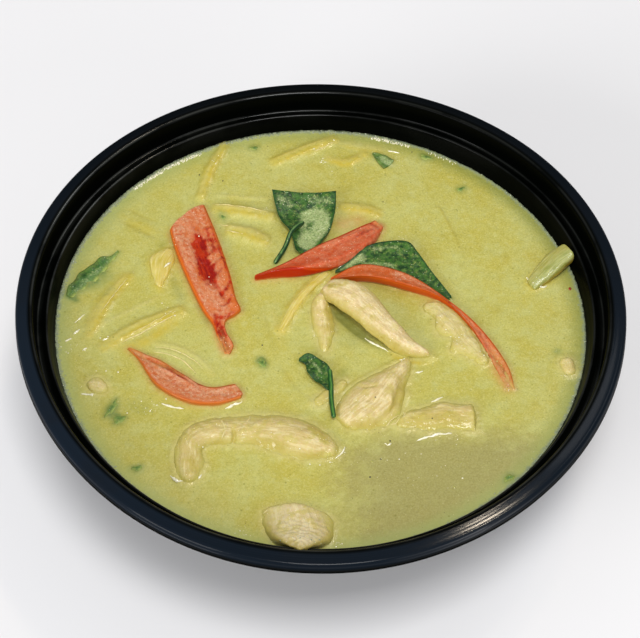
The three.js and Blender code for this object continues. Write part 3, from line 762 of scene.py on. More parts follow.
# %% Strips of red pepper
# Each strip lies between a left and a right edge. rise is how high its middle stands along it, tilt how
# much higher its right side is, and flare how far each side runs out under the curry, all in mm. Its
# colours are flesh, pale flesh, cut line and skin, and frost is how grainy the flesh looks.
PEPPERS = {
    "pepper_top": {
        "left": [[-20.2, 17.6], [-12.6, 21.4], [-0.5, 29.3], [7, 33.6], [17.6, 41]],
        "right": [[-19.8, 16.8], [-12.5, 18.6], [-4, 19.2], [6, 22.8], [16.4, 31.8], [20.4, 38.4]],
        "rise": [2.6, 3.6, 4, 3.4, 1.6],
        "tilt": [0.2, 0.8, 0.4, 0],
        "flare": (0, 1.5),
        "colours": ((200, 80, 32), (208, 114, 74), (192, 62, 8), (164, 34, 0)),
        "frost": 0.3,
    },
    "pepper_long": {
        "left": [[3.2, 16.6], [12.5, 21.7], [25.7, 18.8], [38, 9.2], [48.7, -2.4], [56.5, -16.5],
                 [58, -25]],
        "right": [[3.6, 16], [14.5, 15.9], [25.5, 12.8], [37.2, 8], [45.6, -2], [51.4, -14.6],
                  [55.4, -24.6]],
        "rise": [2.6, 3.6, 3.4, 2.8, 2, 1.2, 0.7],
        "tilt": [0.2, 0.7, 0.3, 0, 0],
        "colours": ((196, 94, 46), (212, 132, 88), (200, 84, 14), (188, 74, 12)),
        "frost": 0.6,
    },
    "pepper_wide": {
        "left": [[-47.1, 36.3], [-44.7, 27.2], [-39.9, 14.2], [-35.6, 4.4], [-32.4, -1],
                 [-30.6, -6.4], [-28.4, -12]],
        "right": [[-36.6, 47.8], [-31.6, 33], [-27.3, 17.7], [-25.4, 9], [-24, 4.8], [-25.2, 3.2],
                  [-28.4, 0.4], [-28, -3.6], [-25.8, -8.4], [-26.8, -11.8]],
        "rise": [2.2, 2.8, 2.6, 2.1, 1],
        "tilt": [-0.5, -0.5, -0.2, 0],
        "bow": (2, 0),
        "colours": ((196, 86, 36), (210, 128, 82), (206, 100, 28), (192, 92, 20)),
        "frost": 0.7,
    },
    "pepper_crescent": {
        "left": [[-57.6, -9], [-49, -12.9], [-39.4, -19.6], [-32.6, -24], [-25, -22.8]],
        "right": [[-58, -9.4], [-54.4, -13.8], [-48.1, -24], [-37.9, -30.1], [-29.6, -30.4],
                  [-22.8, -28]],
        "rise": [1, 1.6, 1.8, 1.8, 1.5],
        "tilt": [0, 0.5, 0.4, 0.2],
        "bow": (0, 0.8),
        "colours": ((188, 88, 44), (208, 128, 86), (202, 108, 40), (190, 102, 36)),
        "frost": 0.8,
    },
}
# How far the middle of a strip dips below its sides, in mm.
HOLLOW = 0.5


def flesh_down_side(name, u, v, w):
    """How far flesh runs down the near side, in mm, where the cut leans. Below zero it is all skin."""
    near = np.clip(v, 0, 1)
    if name == "pepper_top":
        return near * (4.6 * np.clip((u - 0.26) / 0.3, 0, 1) - 1.6 * np.clip((0.34 - u) / 0.1, 0, 1))
    if name == "pepper_long":
        return near * 0.9 * (w > -0.2)
    return near * (0.5 if name == "pepper_wide" else 0.3)


def pepper_strip(name, left, right, rise, tilt, colours, frost, flare=(0, 0), bow=(0, 0)):
    def heights(u, v):
        top = blend(rise, u) + blend(tilt, u) * v - HOLLOW * (1 - v**2)
        return top, top - PEPPER_WALL + 0.8 * v**2

    shape = loft(left, right, heights, flare, bow, squareness=5.0, end=0.8, sharpness=3.0, step=0.38)
    points, v, w = shape["points"], shape["v"], shape["w"]
    half = shape["width"][:, None] / 2
    edge = (1 - np.abs(v)) * half - (1 - w) / 2 * PEPPER_WALL
    edge = edge + flesh_down_side(name, shape["u"], v, w)
    seed = len(name)
    on_top = np.clip(edge / 0.8, 0, 1) * (w > 0)
    relief = on_top * (0.22 * lumps(points, 3.2, seed) + 0.12 * lumps(points, 0.9, seed + 1))
    depth, pit = marked(points, PEPPER_MARKS[name], w > 0.2)
    pit = pit * (0.75 + 0.5 * lumps(points, 1.3, seed + 2))
    film, glow = (painted(points, lines[name]) for lines in (PEPPER_FILM, PEPPER_GLOW))
    finish = pepper_finish(name + "_flesh", *(srgb(*c) for c in colours), frost)
    masks = {"edge": edge, "pit": np.clip(pit, 0, 1), "film": np.clip(film, 0, 1),
             "glow": np.clip(glow, 0, 1)}
    food(name, shape, finish, "pink", relief - depth, masks)


# Each mark is a line with its width, how deep it sinks into the flesh (or how high it stands, below
# zero), and how red it is.
PEPPER_MARKS = {
    "pepper_wide": [
        ([[-39.6, 37.2], [-38, 32.3], [-37, 27.4], [-35.8, 22.5], [-34.4, 17.3], [-33.4, 13.4]],
         2, 0.3, 0.75),
        ([[-38, 32.4], [-37.2, 30], [-36.4, 28]], 2.3, 0.3, 0.9),
        ([[-36.4, 26], [-35.2, 20.8], [-34.4, 18], [-33.4, 15.4]], 2.3, 0.35, 0.95),
        ([[-35.9, 37.2], [-33.6, 31.5], [-32, 25.4]], 0.9, 0.2, 0.5),
        ([[-33.1, 17.3], [-30.5, 11.4], [-27.6, 6.5]], 0.9, 0.2, 0.45),
        ([[-36.2, 44], [-32, 31], [-28.2, 18.6], [-25.6, 9]], 0.4, 0.1, 0.5),
        ([[-36, 23.2], [-32.4, 25.6]], 0.7, -0.5, -0.6),
        ([[-35, 21.2], [-31.8, 23.4]], 0.5, -0.3, -0.4),
        ([[-34.6, 25], [-30.6, 29.4]], 0.7, -0.45, 0.3),
        ([[-33.4, 20.6], [-29.6, 25]], 0.6, -0.45, 0.35),
        ([[-37, 36], [-33.2, 37]], 0.6, -0.3, 0.3),
        ([[-32.2, 17.6], [-29, 21.4]], 0.7, 0.2, 0.4),
        ([[-30.6, 9.6], [-28.6, 12.4], [-27.4, 16.4]], 0.7, 0.25, 0.5),
        ([[-31, 5.6], [-28.4, 6.6], [-26.6, 10.4]], 0.6, 0.25, 0.5),
        ([[-32.4, 2.6], [-29.4, 1.6], [-25.4, 4.2]], 0.9, 0.2, 0.6),
        ([[-31.6, 1.6], [-30, -3.3], [-28.4, -9], [-27.2, -11.7]], 1.4, 0.2, 1),
    ],
    "pepper_crescent": [
        ([[-55, -12], [-47.4, -15.8], [-39.8, -21.6]], 0.55, 0.3, 0.6),
        ([[-54.4, -10.8], [-46, -13.8], [-37.8, -20.4]], 0.5, 0.35, 0.75),
        ([[-50.6, -14.6], [-44.6, -17.2], [-38.2, -22.8]], 0.5, 0.3, 0.55),
        ([[-45, -15.2], [-38, -20.2], [-33.6, -23.8]], 0.9, 0.3, 0.9),
        ([[-49, -16.8], [-43, -19.6], [-36.6, -24.6]], 0.4, -0.3, 0.2),
        ([[-52, -11.6], [-45.4, -14.4], [-38.2, -19.6], [-35, -22.6]], 0.35, 0.2, 0.6),
        ([[-42, -17.2], [-37.4, -21.4], [-34.4, -24.6]], 0.4, 0.2, 0.5),
    ],
    "pepper_top": [
        ([[3, 27.4], [9, 31], [16, 37]], 0.6, 0.15, 0.35),
        ([[6, 30.6], [14, 35.6]], 0.6, -0.45, 0.1),
        ([[11.4, 31.8], [17.8, 37]], 0.6, -0.4, 0.3),
        ([[15.4, 39.4], [18.6, 38]], 0.8, 0.3, 0.6),
    ],
    "pepper_long": [
        ([[38, 8.6], [43, 2.6]], 0.8, 0.2, 0.4),
        ([[52.6, -12.8], [54.8, -17], [56.6, -22]], 0.5, 0.25, 0.7),
        ([[44.6, 0.6], [50, -8.6], [55, -19.6]], 1.8, 0.05, 0.3),
        ([[55.2, -20.6], [56.8, -25]], 0.7, 0.1, 0.5),
    ],
}
# Where the curry lies on the flesh as a thin film.
PEPPER_FILM = {
    "pepper_long": [([[56.6, -23.5], [57.2, -26]], 1.6, 0.4)],
    "pepper_crescent": [([[-50.6, -11.6], [-42, -16.4], [-34, -22.6]], 0.9, 0.55)],
    "pepper_top": [([[17.4, 40.4], [19.6, 39]], 1.2, 0.4)],
    "pepper_wide": [([[-30.6, -6], [-29, -11]], 0.8, 0.5)],
}
# Where the flesh is thin and the skin below glows through it.
PEPPER_GLOW = {
    "pepper_wide": [([[-34.6, 44], [-31.6, 32], [-29, 22], [-26.6, 10], [-25.6, 5]], 2.6, 0.9),
                    ([[-39.6, 40], [-37, 35]], 1.2, 0.5),
                    ([[-38, 20], [-34, 8], [-31, 0]], 1.2, 0.5)],
    "pepper_long": [([[4, 17.4], [12, 18.6], [20, 17.6]], 3, 1),
                    ([[20, 14.6], [30, 12], [38, 8]], 1.6, 0.9),
                    ([[46, -3], [52, -13], [56, -22]], 0.8, 0.3)],
    "pepper_crescent": [([[-54, -13.4], [-47, -22], [-37, -28.8], [-29, -28.8]], 1, 0.5),
                        ([[-52, -12], [-42, -17.6], [-34, -22.6]], 0.8, 0.5)],
    "pepper_top": [([[-19, 18.4], [-10, 20.4], [-2, 22]], 2, 0.8),
                   ([[6, 23.4], [14, 30], [19, 36]], 1, 0.6)],
}

for name, strip in PEPPERS.items():
    pepper_strip(name, **strip)
print("red pepper:", len(PEPPERS), "strips")

# %% [markdown]
# ## Holy basil
#
# Wilted basil is a thin wet sheet: nearly black green at its margins, paler along its veins, and milky
# where the curry runs over it. A leaf could be a flat plane with an alpha mask, but a closed sheet with
# real thickness casts a true shadow and keeps its edge from the side.

# %% The finish of basil


def basil_finish():
    finish = Finish("basil")
    share, across, milk, edge, sunk = (
        finish.mask(key) for key in ("share", "across", "milk", "edge", "sunk"))
    blotch = finish.grain(1.6, detail=4, roughness=0.7)
    fine = finish.grain(0.5, detail=3)
    finish.colour = finish.mix(blotch.between(0.36, 0.66), srgb(14, 54, 16), srgb(66, 110, 34))
    rim = (1 - edge.between(0.1, 1.1)) * (1 - sunk.between(0.0, 0.1))
    finish.paint(rim * 0.7, srgb(8, 56, 22))
    veins = ((share * 21.0 + across.math("ABSOLUTE") * 0.55).math("SINE")).between(0.8, 1.0)
    rib = 1 - across.math("ABSOLUTE").between(0.15, 0.5)
    lines = (veins * 0.15 + rib * 0.15).up_to_one()
    finish.paint(lines, srgb(86, 124, 52))
    cloudy = finish.grain(1.5, detail=5, roughness=0.7)
    inside = (edge + 2.0 * (cloudy - 0.5)).between(0.3, 1.5)
    patchy = (milk + 1.5 * (cloudy - 0.55) + 0.4 * (fine - 0.5)).between(0.0, 1.0)
    patchy = patchy * milk.between(0.1, 0.5) * inside
    veiled = cloudy.between(0.5, 0.66) * fine.between(0.35, 0.6) * inside
    finish.paint(veiled * 0.7, srgb(146, 156, 80))
    milky = finish.mix(fine.between(0.35, 0.65), srgb(138, 156, 92), srgb(178, 190, 132))
    finish.paint(patchy * 0.95, milky)
    # Painted glints: small near-white dots where the leaf is wet.
    beads = finish.dots(0.7, 0.18, 0.4) * cloudy.between(0.42, 0.6)
    finish.paint(beads * 0.75, srgb(210, 224, 190))
    finish.paint(sunk * 0.45, srgb(84, 128, 58))
    fog = 1 - (edge + 2.6 * (cloudy - 0.5) + 0.8 * (fine - 0.5)).between(-0.1, 1.7)
    finish.paint(sunk * fog, srgb(168, 178, 88))
    finish.set(Base_Color=finish.colour, Roughness=0.34 + 0.2 * fine)
    finish.set(Subsurface_Weight=0.1, Subsurface_Scale=0.001, Subsurface_Radius=(0.4, 1.0, 0.3))
    finish.set(Specular_IOR_Level=0.3, Coat_Weight=0.12, Coat_Roughness=0.12)
    finish.bump(0.22 * blotch + 0.16 * fine + 0.05 * veins + 0.16 * cloudy)
    return finish


BASIL = basil_finish()


def leaf(name, left, right, rise, cup=1.0, wave=0.35, waves=2.5, milk=(), sunk=0.0, tilt=0.0):
    def heights(u, v):
        ripple = wave * np.sin(2 * np.pi * waves * u + 1.5 * v) * np.abs(v)
        middle = blend(rise, u) + cup * v**2 + ripple + tilt * v
        return middle + LEAF / 2, middle - LEAF / 2

    shape = loft(left, right, heights, squareness=2.4, end=0.5, step=0.4)
    points = shape["points"]
    inner = 1 - shape["v"] ** 2
    points[..., 2] += inner * (0.3 * lumps(points * [1, 1, 0], 3.0, 5 + len(name)))
    edge = (1 - np.abs(shape["v"])) * shape["width"][:, None] / 2
    sunk = sunk * (0.6 + 0.4 * shape["v"] if tilt else 1 + 0 * edge)
    masks = {"milk": np.clip(painted(points, milk), 0, 1), "edge": edge, "sunk": sunk}
    food(name, shape, BASIL, "green", None, masks)


def rod(path, radius, ends=1.0, step=0.4, count=14, uneven=0.0):
    """Rows of rings round a line in space, rounded at both ends."""
    line = smooth_path(path)
    length = np.linalg.norm(np.diff(line, axis=0), axis=1).sum()
    u, opening = row_places(length, step, min(ends, length / 2.2), 2.0)
    middle, onward = along_path(line, u)
    side = np.cross(onward, [0, 0, 1])
    side /= np.maximum(np.linalg.norm(side, axis=1), 1e-9)[:, None]
    up = np.cross(side, onward)
    angle = np.linspace(0, 2 * np.pi, count, endpoint=False)
    v, w = opening[:, None] * np.cos(angle), opening[:, None] * np.sin(angle)
    swell = radius * (1 + uneven * lumps(middle, 1.1, 8))[:, None, None]
    points = middle[:, None] + swell * (v[..., None] * side[:, None] + w[..., None] * up[:, None])
    return {"points": points, "u": u[:, None] + 0 * v, "v": v, "w": w, "length": length,
            "width": np.full(len(u), 2 * radius)}


def join(*parts):
    """Several pieces' points and faces as one."""
    points, faces, start = [], [], 0
    for part_points, part_faces in parts:
        points.append(part_points)
        faces += [tuple(start + c for c in face) for face in part_faces]
        start += len(part_points)
    return np.vstack(points), faces


# %% Leaves and stems
# cup is how much higher a leaf's two sides stand than its middle, in mm, milk the strokes of curry that
# lie on it, and sunk how far it has gone under, from 0 to 1.
LEAVES = {
    "basil_top": {
        "left": [[-15.2, 52], [-13.9, 45.5], [-11.8, 39.2], [-9, 34.6], [-7.4, 27]],
        "right": [[5.3, 50.7], [5, 44.2], [4, 38.4], [2.4, 33.6], [-1.2, 27.6]],
        "rise": [2.2, 0.6, 0.4, 0.6, 0.6],
        "cup": 1.9,
        "milk": [([[-3.4, 42.6], [-0.4, 42.8], [0.6, 38.9], [-1.4, 34.4], [-3.6, 31.5]], 2.6, 1.5),
                 ([[0.6, 38.9], [2.6, 36.4]], 1.6, 0.9),
                 ([[-5.2, 40.1], [-5.2, 34.8], [-5.6, 31]], 1.4, 0.6),
                 ([[-12.4, 48.6], [-9.8, 47.2]], 2.6, 0.5), ([[-11.6, 43], [-10.4, 40]], 1.4, 0.3),
                 ([[-2.6, 49], [2.6, 47.8]], 1.6, 0.5)],
    },
    "basil_middle": {
        "left": [[4.6, 19.8], [10, 24.1], [14.6, 29], [20.4, 31.2], [27.6, 31], [30.4, 27],
                 [34.4, 19.8], [40.6, 9.6]],
        "right": [[5, 19.2], [9, 19.6], [14, 20], [22.4, 18.4], [30, 13.8], [35.1, 11], [40, 8.9]],
        "rise": [1, 1.6, 1.6, 1.4, 1.2, 0.4],
        "cup": 0.7,
        "wave": 0.15,
        "milk": [([[7, 21], [11, 23.6], [13, 25]], 1.6, 0.8),
                 ([[14.6, 22.4], [22.4, 21.4]], 1.2, 0.6), ([[17, 28.4], [24, 28.8]], 1, 0.5)],
    },
    "basil_sprig": {
        "left": [[-6.4, -13.6], [-3.8, -12.3], [-0.5, -13.8], [3.1, -17.9], [3.9, -24]],
        "right": [[-6, -15], [-4.2, -16.2], [-3.7, -19.3], [-1.4, -22.3], [2.6, -26]],
        "rise": [0.5, 1, 1, 1],
        "cup": 0.7,
        "milk": [([[-1.8, -15.6], [0.4, -19]], 0.8, 0.55)],
    },
    "basil_left": {
        "left": [[-77.8, 11], [-77, 14.8], [-75.2, 17.2], [-73.8, 20.2], [-70.6, 22.6], [-68.6, 25.6],
                 [-65.6, 26.4], [-62.6, 28.8]],
        "right": [[-76, 10], [-72.4, 13.2], [-68.8, 16.8], [-65.8, 21.6], [-62.4, 28]],
        "rise": [0.3, 0.4, 0.4, 0.2],
        "tilt": -0.45,
        "cup": 0,
        "wave": 0.35,
        "waves": 4.5,
        "milk": [([[-75, 12.4], [-69.4, 19.4], [-63.4, 26.6]], 1.4, 0.5)],
        "sunk": 1,
    },
    "basil_scrap": {
        "left": [[16.9, 70.2], [20.6, 69], [24.4, 66.5]],
        "right": [[17.4, 68.6], [18.8, 65.6], [20.8, 62.8]],
        "rise": [0.6, 0.7, 0.5],
        "cup": 0.3,
        "wave": 0.1,
        "milk": [([[20.6, 67], [22.6, 65.6]], 1.6, 1.2)],
        "sunk": 0.3,
    },
}
# Each stem is a line of x, y and height above the curry, with its light colour, a painted highlight along
# its top and underside, and its dark colour, painted shade down its sides.
STEMS = {
    "basil_top": ([[-5, 40, 1.3], [-8.7, 34.9, 2.6], [-10.8, 28.8, 2], [-14, 23.4, 0.6]],
                  (98, 134, 66), (14, 56, 20)),
    "basil_sprig": ([[3, -18, 1.3], [3.4, -24.3, 1.6], [3.5, -30, 1.8], [4.2, -36.3, 2.2]],
                    (78, 128, 46), (14, 74, 24)),
}
STEM_CREEP = 0.2


def stem_finish(name, light, dark):
    finish = Finish(name)
    streak = finish.grain(0.7, detail=3, stretch=(1, 4, 4))
    from_middle = finish.mask("across").math("ABSOLUTE")
    # Painted light: lighter along the stem's top and underside, darker down its sides.
    finish.colour = finish.mix((from_middle + 1.3 * (streak - 0.5)).between(0.05, 0.5), light, dark)
    finish.set(Base_Color=finish.colour, Roughness=0.26 + 0.1 * streak)
    finish.set(Specular_IOR_Level=0.4, Coat_Weight=0.3, Coat_Roughness=0.08)
    finish.bump(0.08 * streak)
    return finish


for name, shape in LEAVES.items():
    leaf(name, **shape)
for name, (path, light, dark) in STEMS.items():
    shape = rod([(x, y, CURRY_LEVEL + z) for x, y, z in path], STEM_RADIUS - 0.15)
    vertices, faces = closed(shape["points"])
    finish = stem_finish(name + "_stem_skin", srgb(*light), srgb(*dark))
    masks = {"across": close_ends(shape["v"])}
    make_piece(name + "_stem", vertices, faces, finish, (), masks)
    FOOD.append(("green", STEM_CREEP, vertices, faces))
print("basil:", len(LEAVES), "leaves and", len(STEMS), "stems")

# %% [markdown]
# ## Sliced chicken breast
#
# Poached chicken is soft and pale, with fibres that run along each slice, small creases where the slice
# has folded, and a skin of curry wherever it dips below the surface. The fibres are noise stretched
# along the slice, both as relief in the mesh and as a finer bump, so they follow every bend.

# %% The finish of chicken


def chicken_finish():
    finish = Finish("cooked_chicken")
    along, across, stain, blush, crest, white, film = (
        finish.mask(key) for key in ("along", "across", "stain", "blush", "height", "white", "film"))
    soft = finish.grain(3.2, detail=4, roughness=0.6)
    fine = finish.grain(0.45, detail=3, roughness=0.7)
    fibre = finish.streaks(along * 0.22, across * 1.3, finish.height(), detail=3.5)
    strand = finish.streaks(along * 0.7, across * 2.6 + 3.0 * soft, finish.height())
    finish.colour = finish.mix(fibre.between(0.3, 0.7), srgb(208, 184, 128), srgb(224, 204, 152))
    finish.paint(strand.between(0.5, 0.7) * 0.25, srgb(192, 168, 100))
    # Painted highlight and painted shade on the fine grain, which is also the fine bump: paler where it
    # stands up, darker where it sinks.
    finish.paint(fine.between(0.48, 0.66) * 0.5, srgb(238, 226, 184))
    finish.paint((1 - fine.between(0.3, 0.44)) * 0.4, srgb(190, 164, 92))
    finish.paint(white * 0.6, srgb(232, 222, 192))
    finish.paint(blush.up_to_one() * 0.3, srgb(216, 180, 138))
    finish.paint(film.between(0.1, 0.35) * 0.35, srgb(186, 164, 88))
    # Painted highlight: paler cream along the top of each slice.
    painted_crest_highlight = crest.between(0.6, 1.0) * fibre.between(0.46, 0.62) * (1 - film.between(0.5, 0.9))
    finish.paint(painted_crest_highlight * 0.5, srgb(236, 222, 176))
    finish.paint(soft.between(0.48, 0.62) * 0.5, srgb(198, 180, 94))
    # Yellow-olive down the flanks and underside: partly curry on them, partly painted shade.
    sides = 1 - (crest + 1.5 * (soft - 0.5) + 0.5 * (fine - 0.5)).between(0.2, 1.0)
    finish.paint(sides * 0.8, srgb(188, 170, 76))
    ragged = finish.height() + 3.0 * (soft - 0.5) + 1.4 * (fine - 0.5)
    low = 1 - ragged.between(CURRY_LEVEL + 0.1, CURRY_LEVEL + 2.4)
    finish.paint(low * 0.92, srgb(192, 182, 90))
    stained = (stain + 0.9 * (soft - 0.5) + 0.3 * (fine - 0.5)).between(0.15, 0.85)
    finish.paint(stained * stain.between(0.02, 0.2) * 0.75, srgb(178, 158, 62))
    fog = (film + 1.1 * (soft - 0.5) + 0.6 * (fine - 0.5)).between(0.15, 0.85) * film.between(0.02, 0.2)
    finish.paint(fog * 0.92, srgb(187, 174, 86))
    # Painted glints: small near-white dots.
    beads = finish.dots(0.8, 0.16, 0.3, seed=3.3) * soft.between(0.4, 0.55)
    finish.paint(beads * 0.8, srgb(252, 246, 222))
    finish.set(Base_Color=finish.colour, Roughness=0.4 + 0.18 * fine)
    finish.set(Subsurface_Weight=0.3, Subsurface_Scale=0.002, Subsurface_Radius=(1.0, 0.75, 0.4))
    finish.set(Specular_IOR_Level=0.35, Coat_Weight=(0.12 + 0.3 * low).up_to_one(), Coat_Roughness=0.14)
    finish.bump(0.16 * fibre + 0.12 * strand + 0.12 * fine + 0.18 * soft)
    return finish


CHICKEN_FINISH = chicken_finish()

# %% Slices of chicken
# A slice under more film than this lies low: its edges flare out into the curry and its crown dips.
THICK_FILM = 0.6
LOW_FLARE = (1.5, 1.5)
# How wide the thicker film is at a slice's margin, and how far apart the folds across the front slice
# are, in mm.
FILM_MARGIN = 2.6
FOLD_SPACING = 2.0
# rise is how high a slice's middle stands and foot how deep its underside lies, from the curry's level.
CHICKEN = {
    "chicken_main": {
        "left": [[0.8, 11.6], [3.5, 14.3], [10.2, 13.6], [17.1, 7.2], [22.7, -0.6], [28.9, -7.6],
                 [34, -12]],
        "right": [[0.2, 10.2], [2, 7.4], [7.4, 2], [13.6, -4.6], [20, -9.9], [26.6, -12.9],
                  [33.4, -13.2]],
        "rise": [4.6, 6.6, 7, 6, 4, 1.6],
        "foot": [-2, 1.6, 2.2, 1, -2, -3],
        "lumps_high": 0.2,
    },
    "chicken_centre": {
        "left": [[4.2, -36], [4.4, -30], [7.6, -24.6], [12.8, -20.6], [18.8, -17], [26, -12.8]],
        "right": [[8.6, -39.8], [15.6, -40], [22, -37.2], [25.4, -30.4], [26.6, -23], [28, -13.4]],
        "rise": [1.8, 3, 3.6, 3, 1.8],
        "phase": 1,
        "end": 2,
        "film": 0.68,
    },
    "chicken_left_long": {
        "left": [[-41.4, -57.6], [-43, -48], [-39.4, -38.2], [-31, -34.4], [-9, -33.8], [0, -38],
                 [6.2, -44.4]],
        "right": [[-34.4, -57.6], [-32.2, -51.2], [-32.8, -46.8], [-21, -45.8], [-12, -48.6], [-3.6, -50.8],
                  [4, -49.6]],
        "film": 0.9,
        "rise": [1.4, 2.2, 2.6, 2.1, 3, 3.2, 1.6],
        "phase": 0.4,
        "bow": (0.8, 0.8),
    },
    "chicken_front": {
        "film": 0.7,
        "left": [[-17.6, -66.2], [-16, -71.6], [-13, -77], [-10, -80.6], [-7.2, -84.2]],
        "right": [[3, -67.6], [3.8, -72.5], [2, -78], [-1.4, -81.6], [-4, -84.4]],
        "rise": [2.2, 3, 4.6, 7, 8],
        "foot": [-5, -5, -3, 2, 6.6],
        "lumps_high": 0.25,
        "bow": (2.2, 0.3),
        "end": 1.6,
    },
    "chicken_far_right": {
        "left": [[30.8, 7.8], [36.8, 9], [43.4, 3.4], [48.2, -6.6], [51.2, -15]],
        "right": [[31.2, 4.6], [34.6, 1.4], [34.8, -3.4], [38.8, -6.6], [39.4, -10.6], [43.8, -13],
                  [48.4, -16.4]],
        "rise": [1.2, 1.7, 1.7, 1.2],
        "lumps_high": 0,
        "end": 1.8,
        "squareness": 3.6,
        "rough": 1.3,
        "film": 0.75,
    },
    "chicken_near_right": {
        "left": [[21.8, -36.4], [25.6, -32.2], [30.9, -31.2], [35.4, -28.6], [39.8, -30], [45.8, -28.8]],
        "right": [[22.4, -39.4], [31, -40.4], [38.7, -40], [46.6, -41]],
        "rise": [1.1, 1.8, 2.1, 2],
        "rough": 1.6,
        "tilt": -0.6,
        "lumps_high": 0.1,
        "phase": 2.2,
        "end": 1.4,
        "squareness": 3,
        "film": 1,
    },
    "chicken_fold": {
        "left": [[0.2, 11.4], [-2.1, 8.4], [-2.5, 0.9], [-1, -6.8], [0.2, -12.2]],
        "right": [[1.2, 11], [3.2, 7.4], [4.6, 0.8], [4.2, -5.6], [2.6, -11.4]],
        "rise": [3, 2.6, 2, 1.3, 0.8],
        "foot": [-3, -3],
        "lumps_high": 0.15,
        "film": 0.5,
    },
    "chicken_small": {
        "left": [[-3.6, -29.6], [0.1, -25.4], [4.4, -21.6], [9.6, -19.4]],
        "right": [[-2, -31.8], [1.6, -31], [4.6, -28.6], [8.6, -24.2]],
        "rise": [0.8, 1.1, 1],
        "lumps_high": 0,
        "squareness": 3.4,
        "rough": 0.6,
        "film": 0.8,
    },
}
# Each mark is a line with its width, how deep it sinks (or how high it stands, below zero), and its stain.
CHICKEN_MARKS = {
    "chicken_main": [
        ([[2.6, 11], [4.4, 10.6]], 0.8, 0.15, 0.7),
        ([[2, 9], [5, 10.6], [9, 9.6]], 3, 0, 0.5),
        ([[5, 14], [9.6, 13.4], [12.4, 11]], 0.9, 0.2, 0.6),
        ([[18.6, 4.6], [24.4, -3], [31, -9.6]], 0.7, 0.25, 0.55),
        ([[13, -3.6], [19.4, -9], [26.4, -12.2]], 1.4, 0.3, 0.8),
        ([[12, 2], [17, -3]], 0.6, 0.15, 0.4),
    ],
    "chicken_centre": [
        ([[12, -25.4], [14.4, -25.8], [17, -25.2]], 0.45, 0.4, 0.9),
        ([[17, -36.6], [21, -32.8], [23, -28], [24.6, -20]], 0.9, 0.6, 0.8),
        ([[19.4, -35], [21, -31.6], [21.2, -28.6]], 0.6, -0.5, 0),
        ([[24, -32], [25.4, -27.4], [26.4, -20]], 1.4, 0.3, 0.8),
        ([[8, -37.6], [14, -38.4], [19.6, -36.8]], 1.5, 0.2, 0.75),
        ([[12, -29.6], [16, -31.4], [18.4, -30.6]], 0.6, 0.2, 0.4),
    ],
    "chicken_left_long": [
        ([[-25.4, -39.6], [-24.8, -42], [-25.4, -45]], 0.8, 0.6, 1),
        ([[-22.6, -44.8], [-14, -45], [-8, -47.8]], 2.2, 0.4, 0.8),
        ([[-33.6, -48.8], [-31, -45.6], [-25.6, -44.8]], 1.9, 0.4, 0.9),
        ([[-28.4, -36.6], [-27.2, -40.2], [-28, -43]], 0.5, -0.4, 0),
        ([[-20.4, -35.8], [-22, -39.4], [-22.8, -42.4]], 0.5, -0.4, 0),
        ([[-16.6, -36.6], [-19.4, -40]], 0.4, -0.25, 0),
        ([[-4.6, -38.6], [-0.6, -41.6], [3, -45.4]], 1.6, 0.15, 0.8),
        ([[-7, -48.6], [-1.6, -49.4], [2.6, -47.8]], 1.2, 0.15, 0.8),
        ([[-36.6, -50], [-36, -55.6]], 1.6, 0.1, 0.7),
        ([[-38, -56], [-38.6, -48], [-36, -41.6], [-29, -38.8]], 3.4, 0, 0.4),
    ],
    "chicken_front": [
        ([[-12.4, -75], [-11, -71.6], [-11.6, -68.4]], 0.6, 0.25, 0.4),
        ([[-0.6, -72.6], [0.4, -70]], 0.6, 0.3, 0.5),
    ],
    "chicken_near_right": [
        ([[22, -38], [30, -36.8], [38, -36.4], [46, -37.6]], 3.2, 0.1, 0.9),
        ([[35.4, -30], [36.4, -32]], 0.6, -0.15, 0),
    ],
    "chicken_far_right": [
        ([[34.6, 3], [38.6, -4], [44, -11.6]], 1.2, 0.1, 0.4),
    ],
    "chicken_fold": [
        ([[2.2, 8], [3, 1], [2.6, -6]], 1.5, 0.1, 0.9),
    ],
}


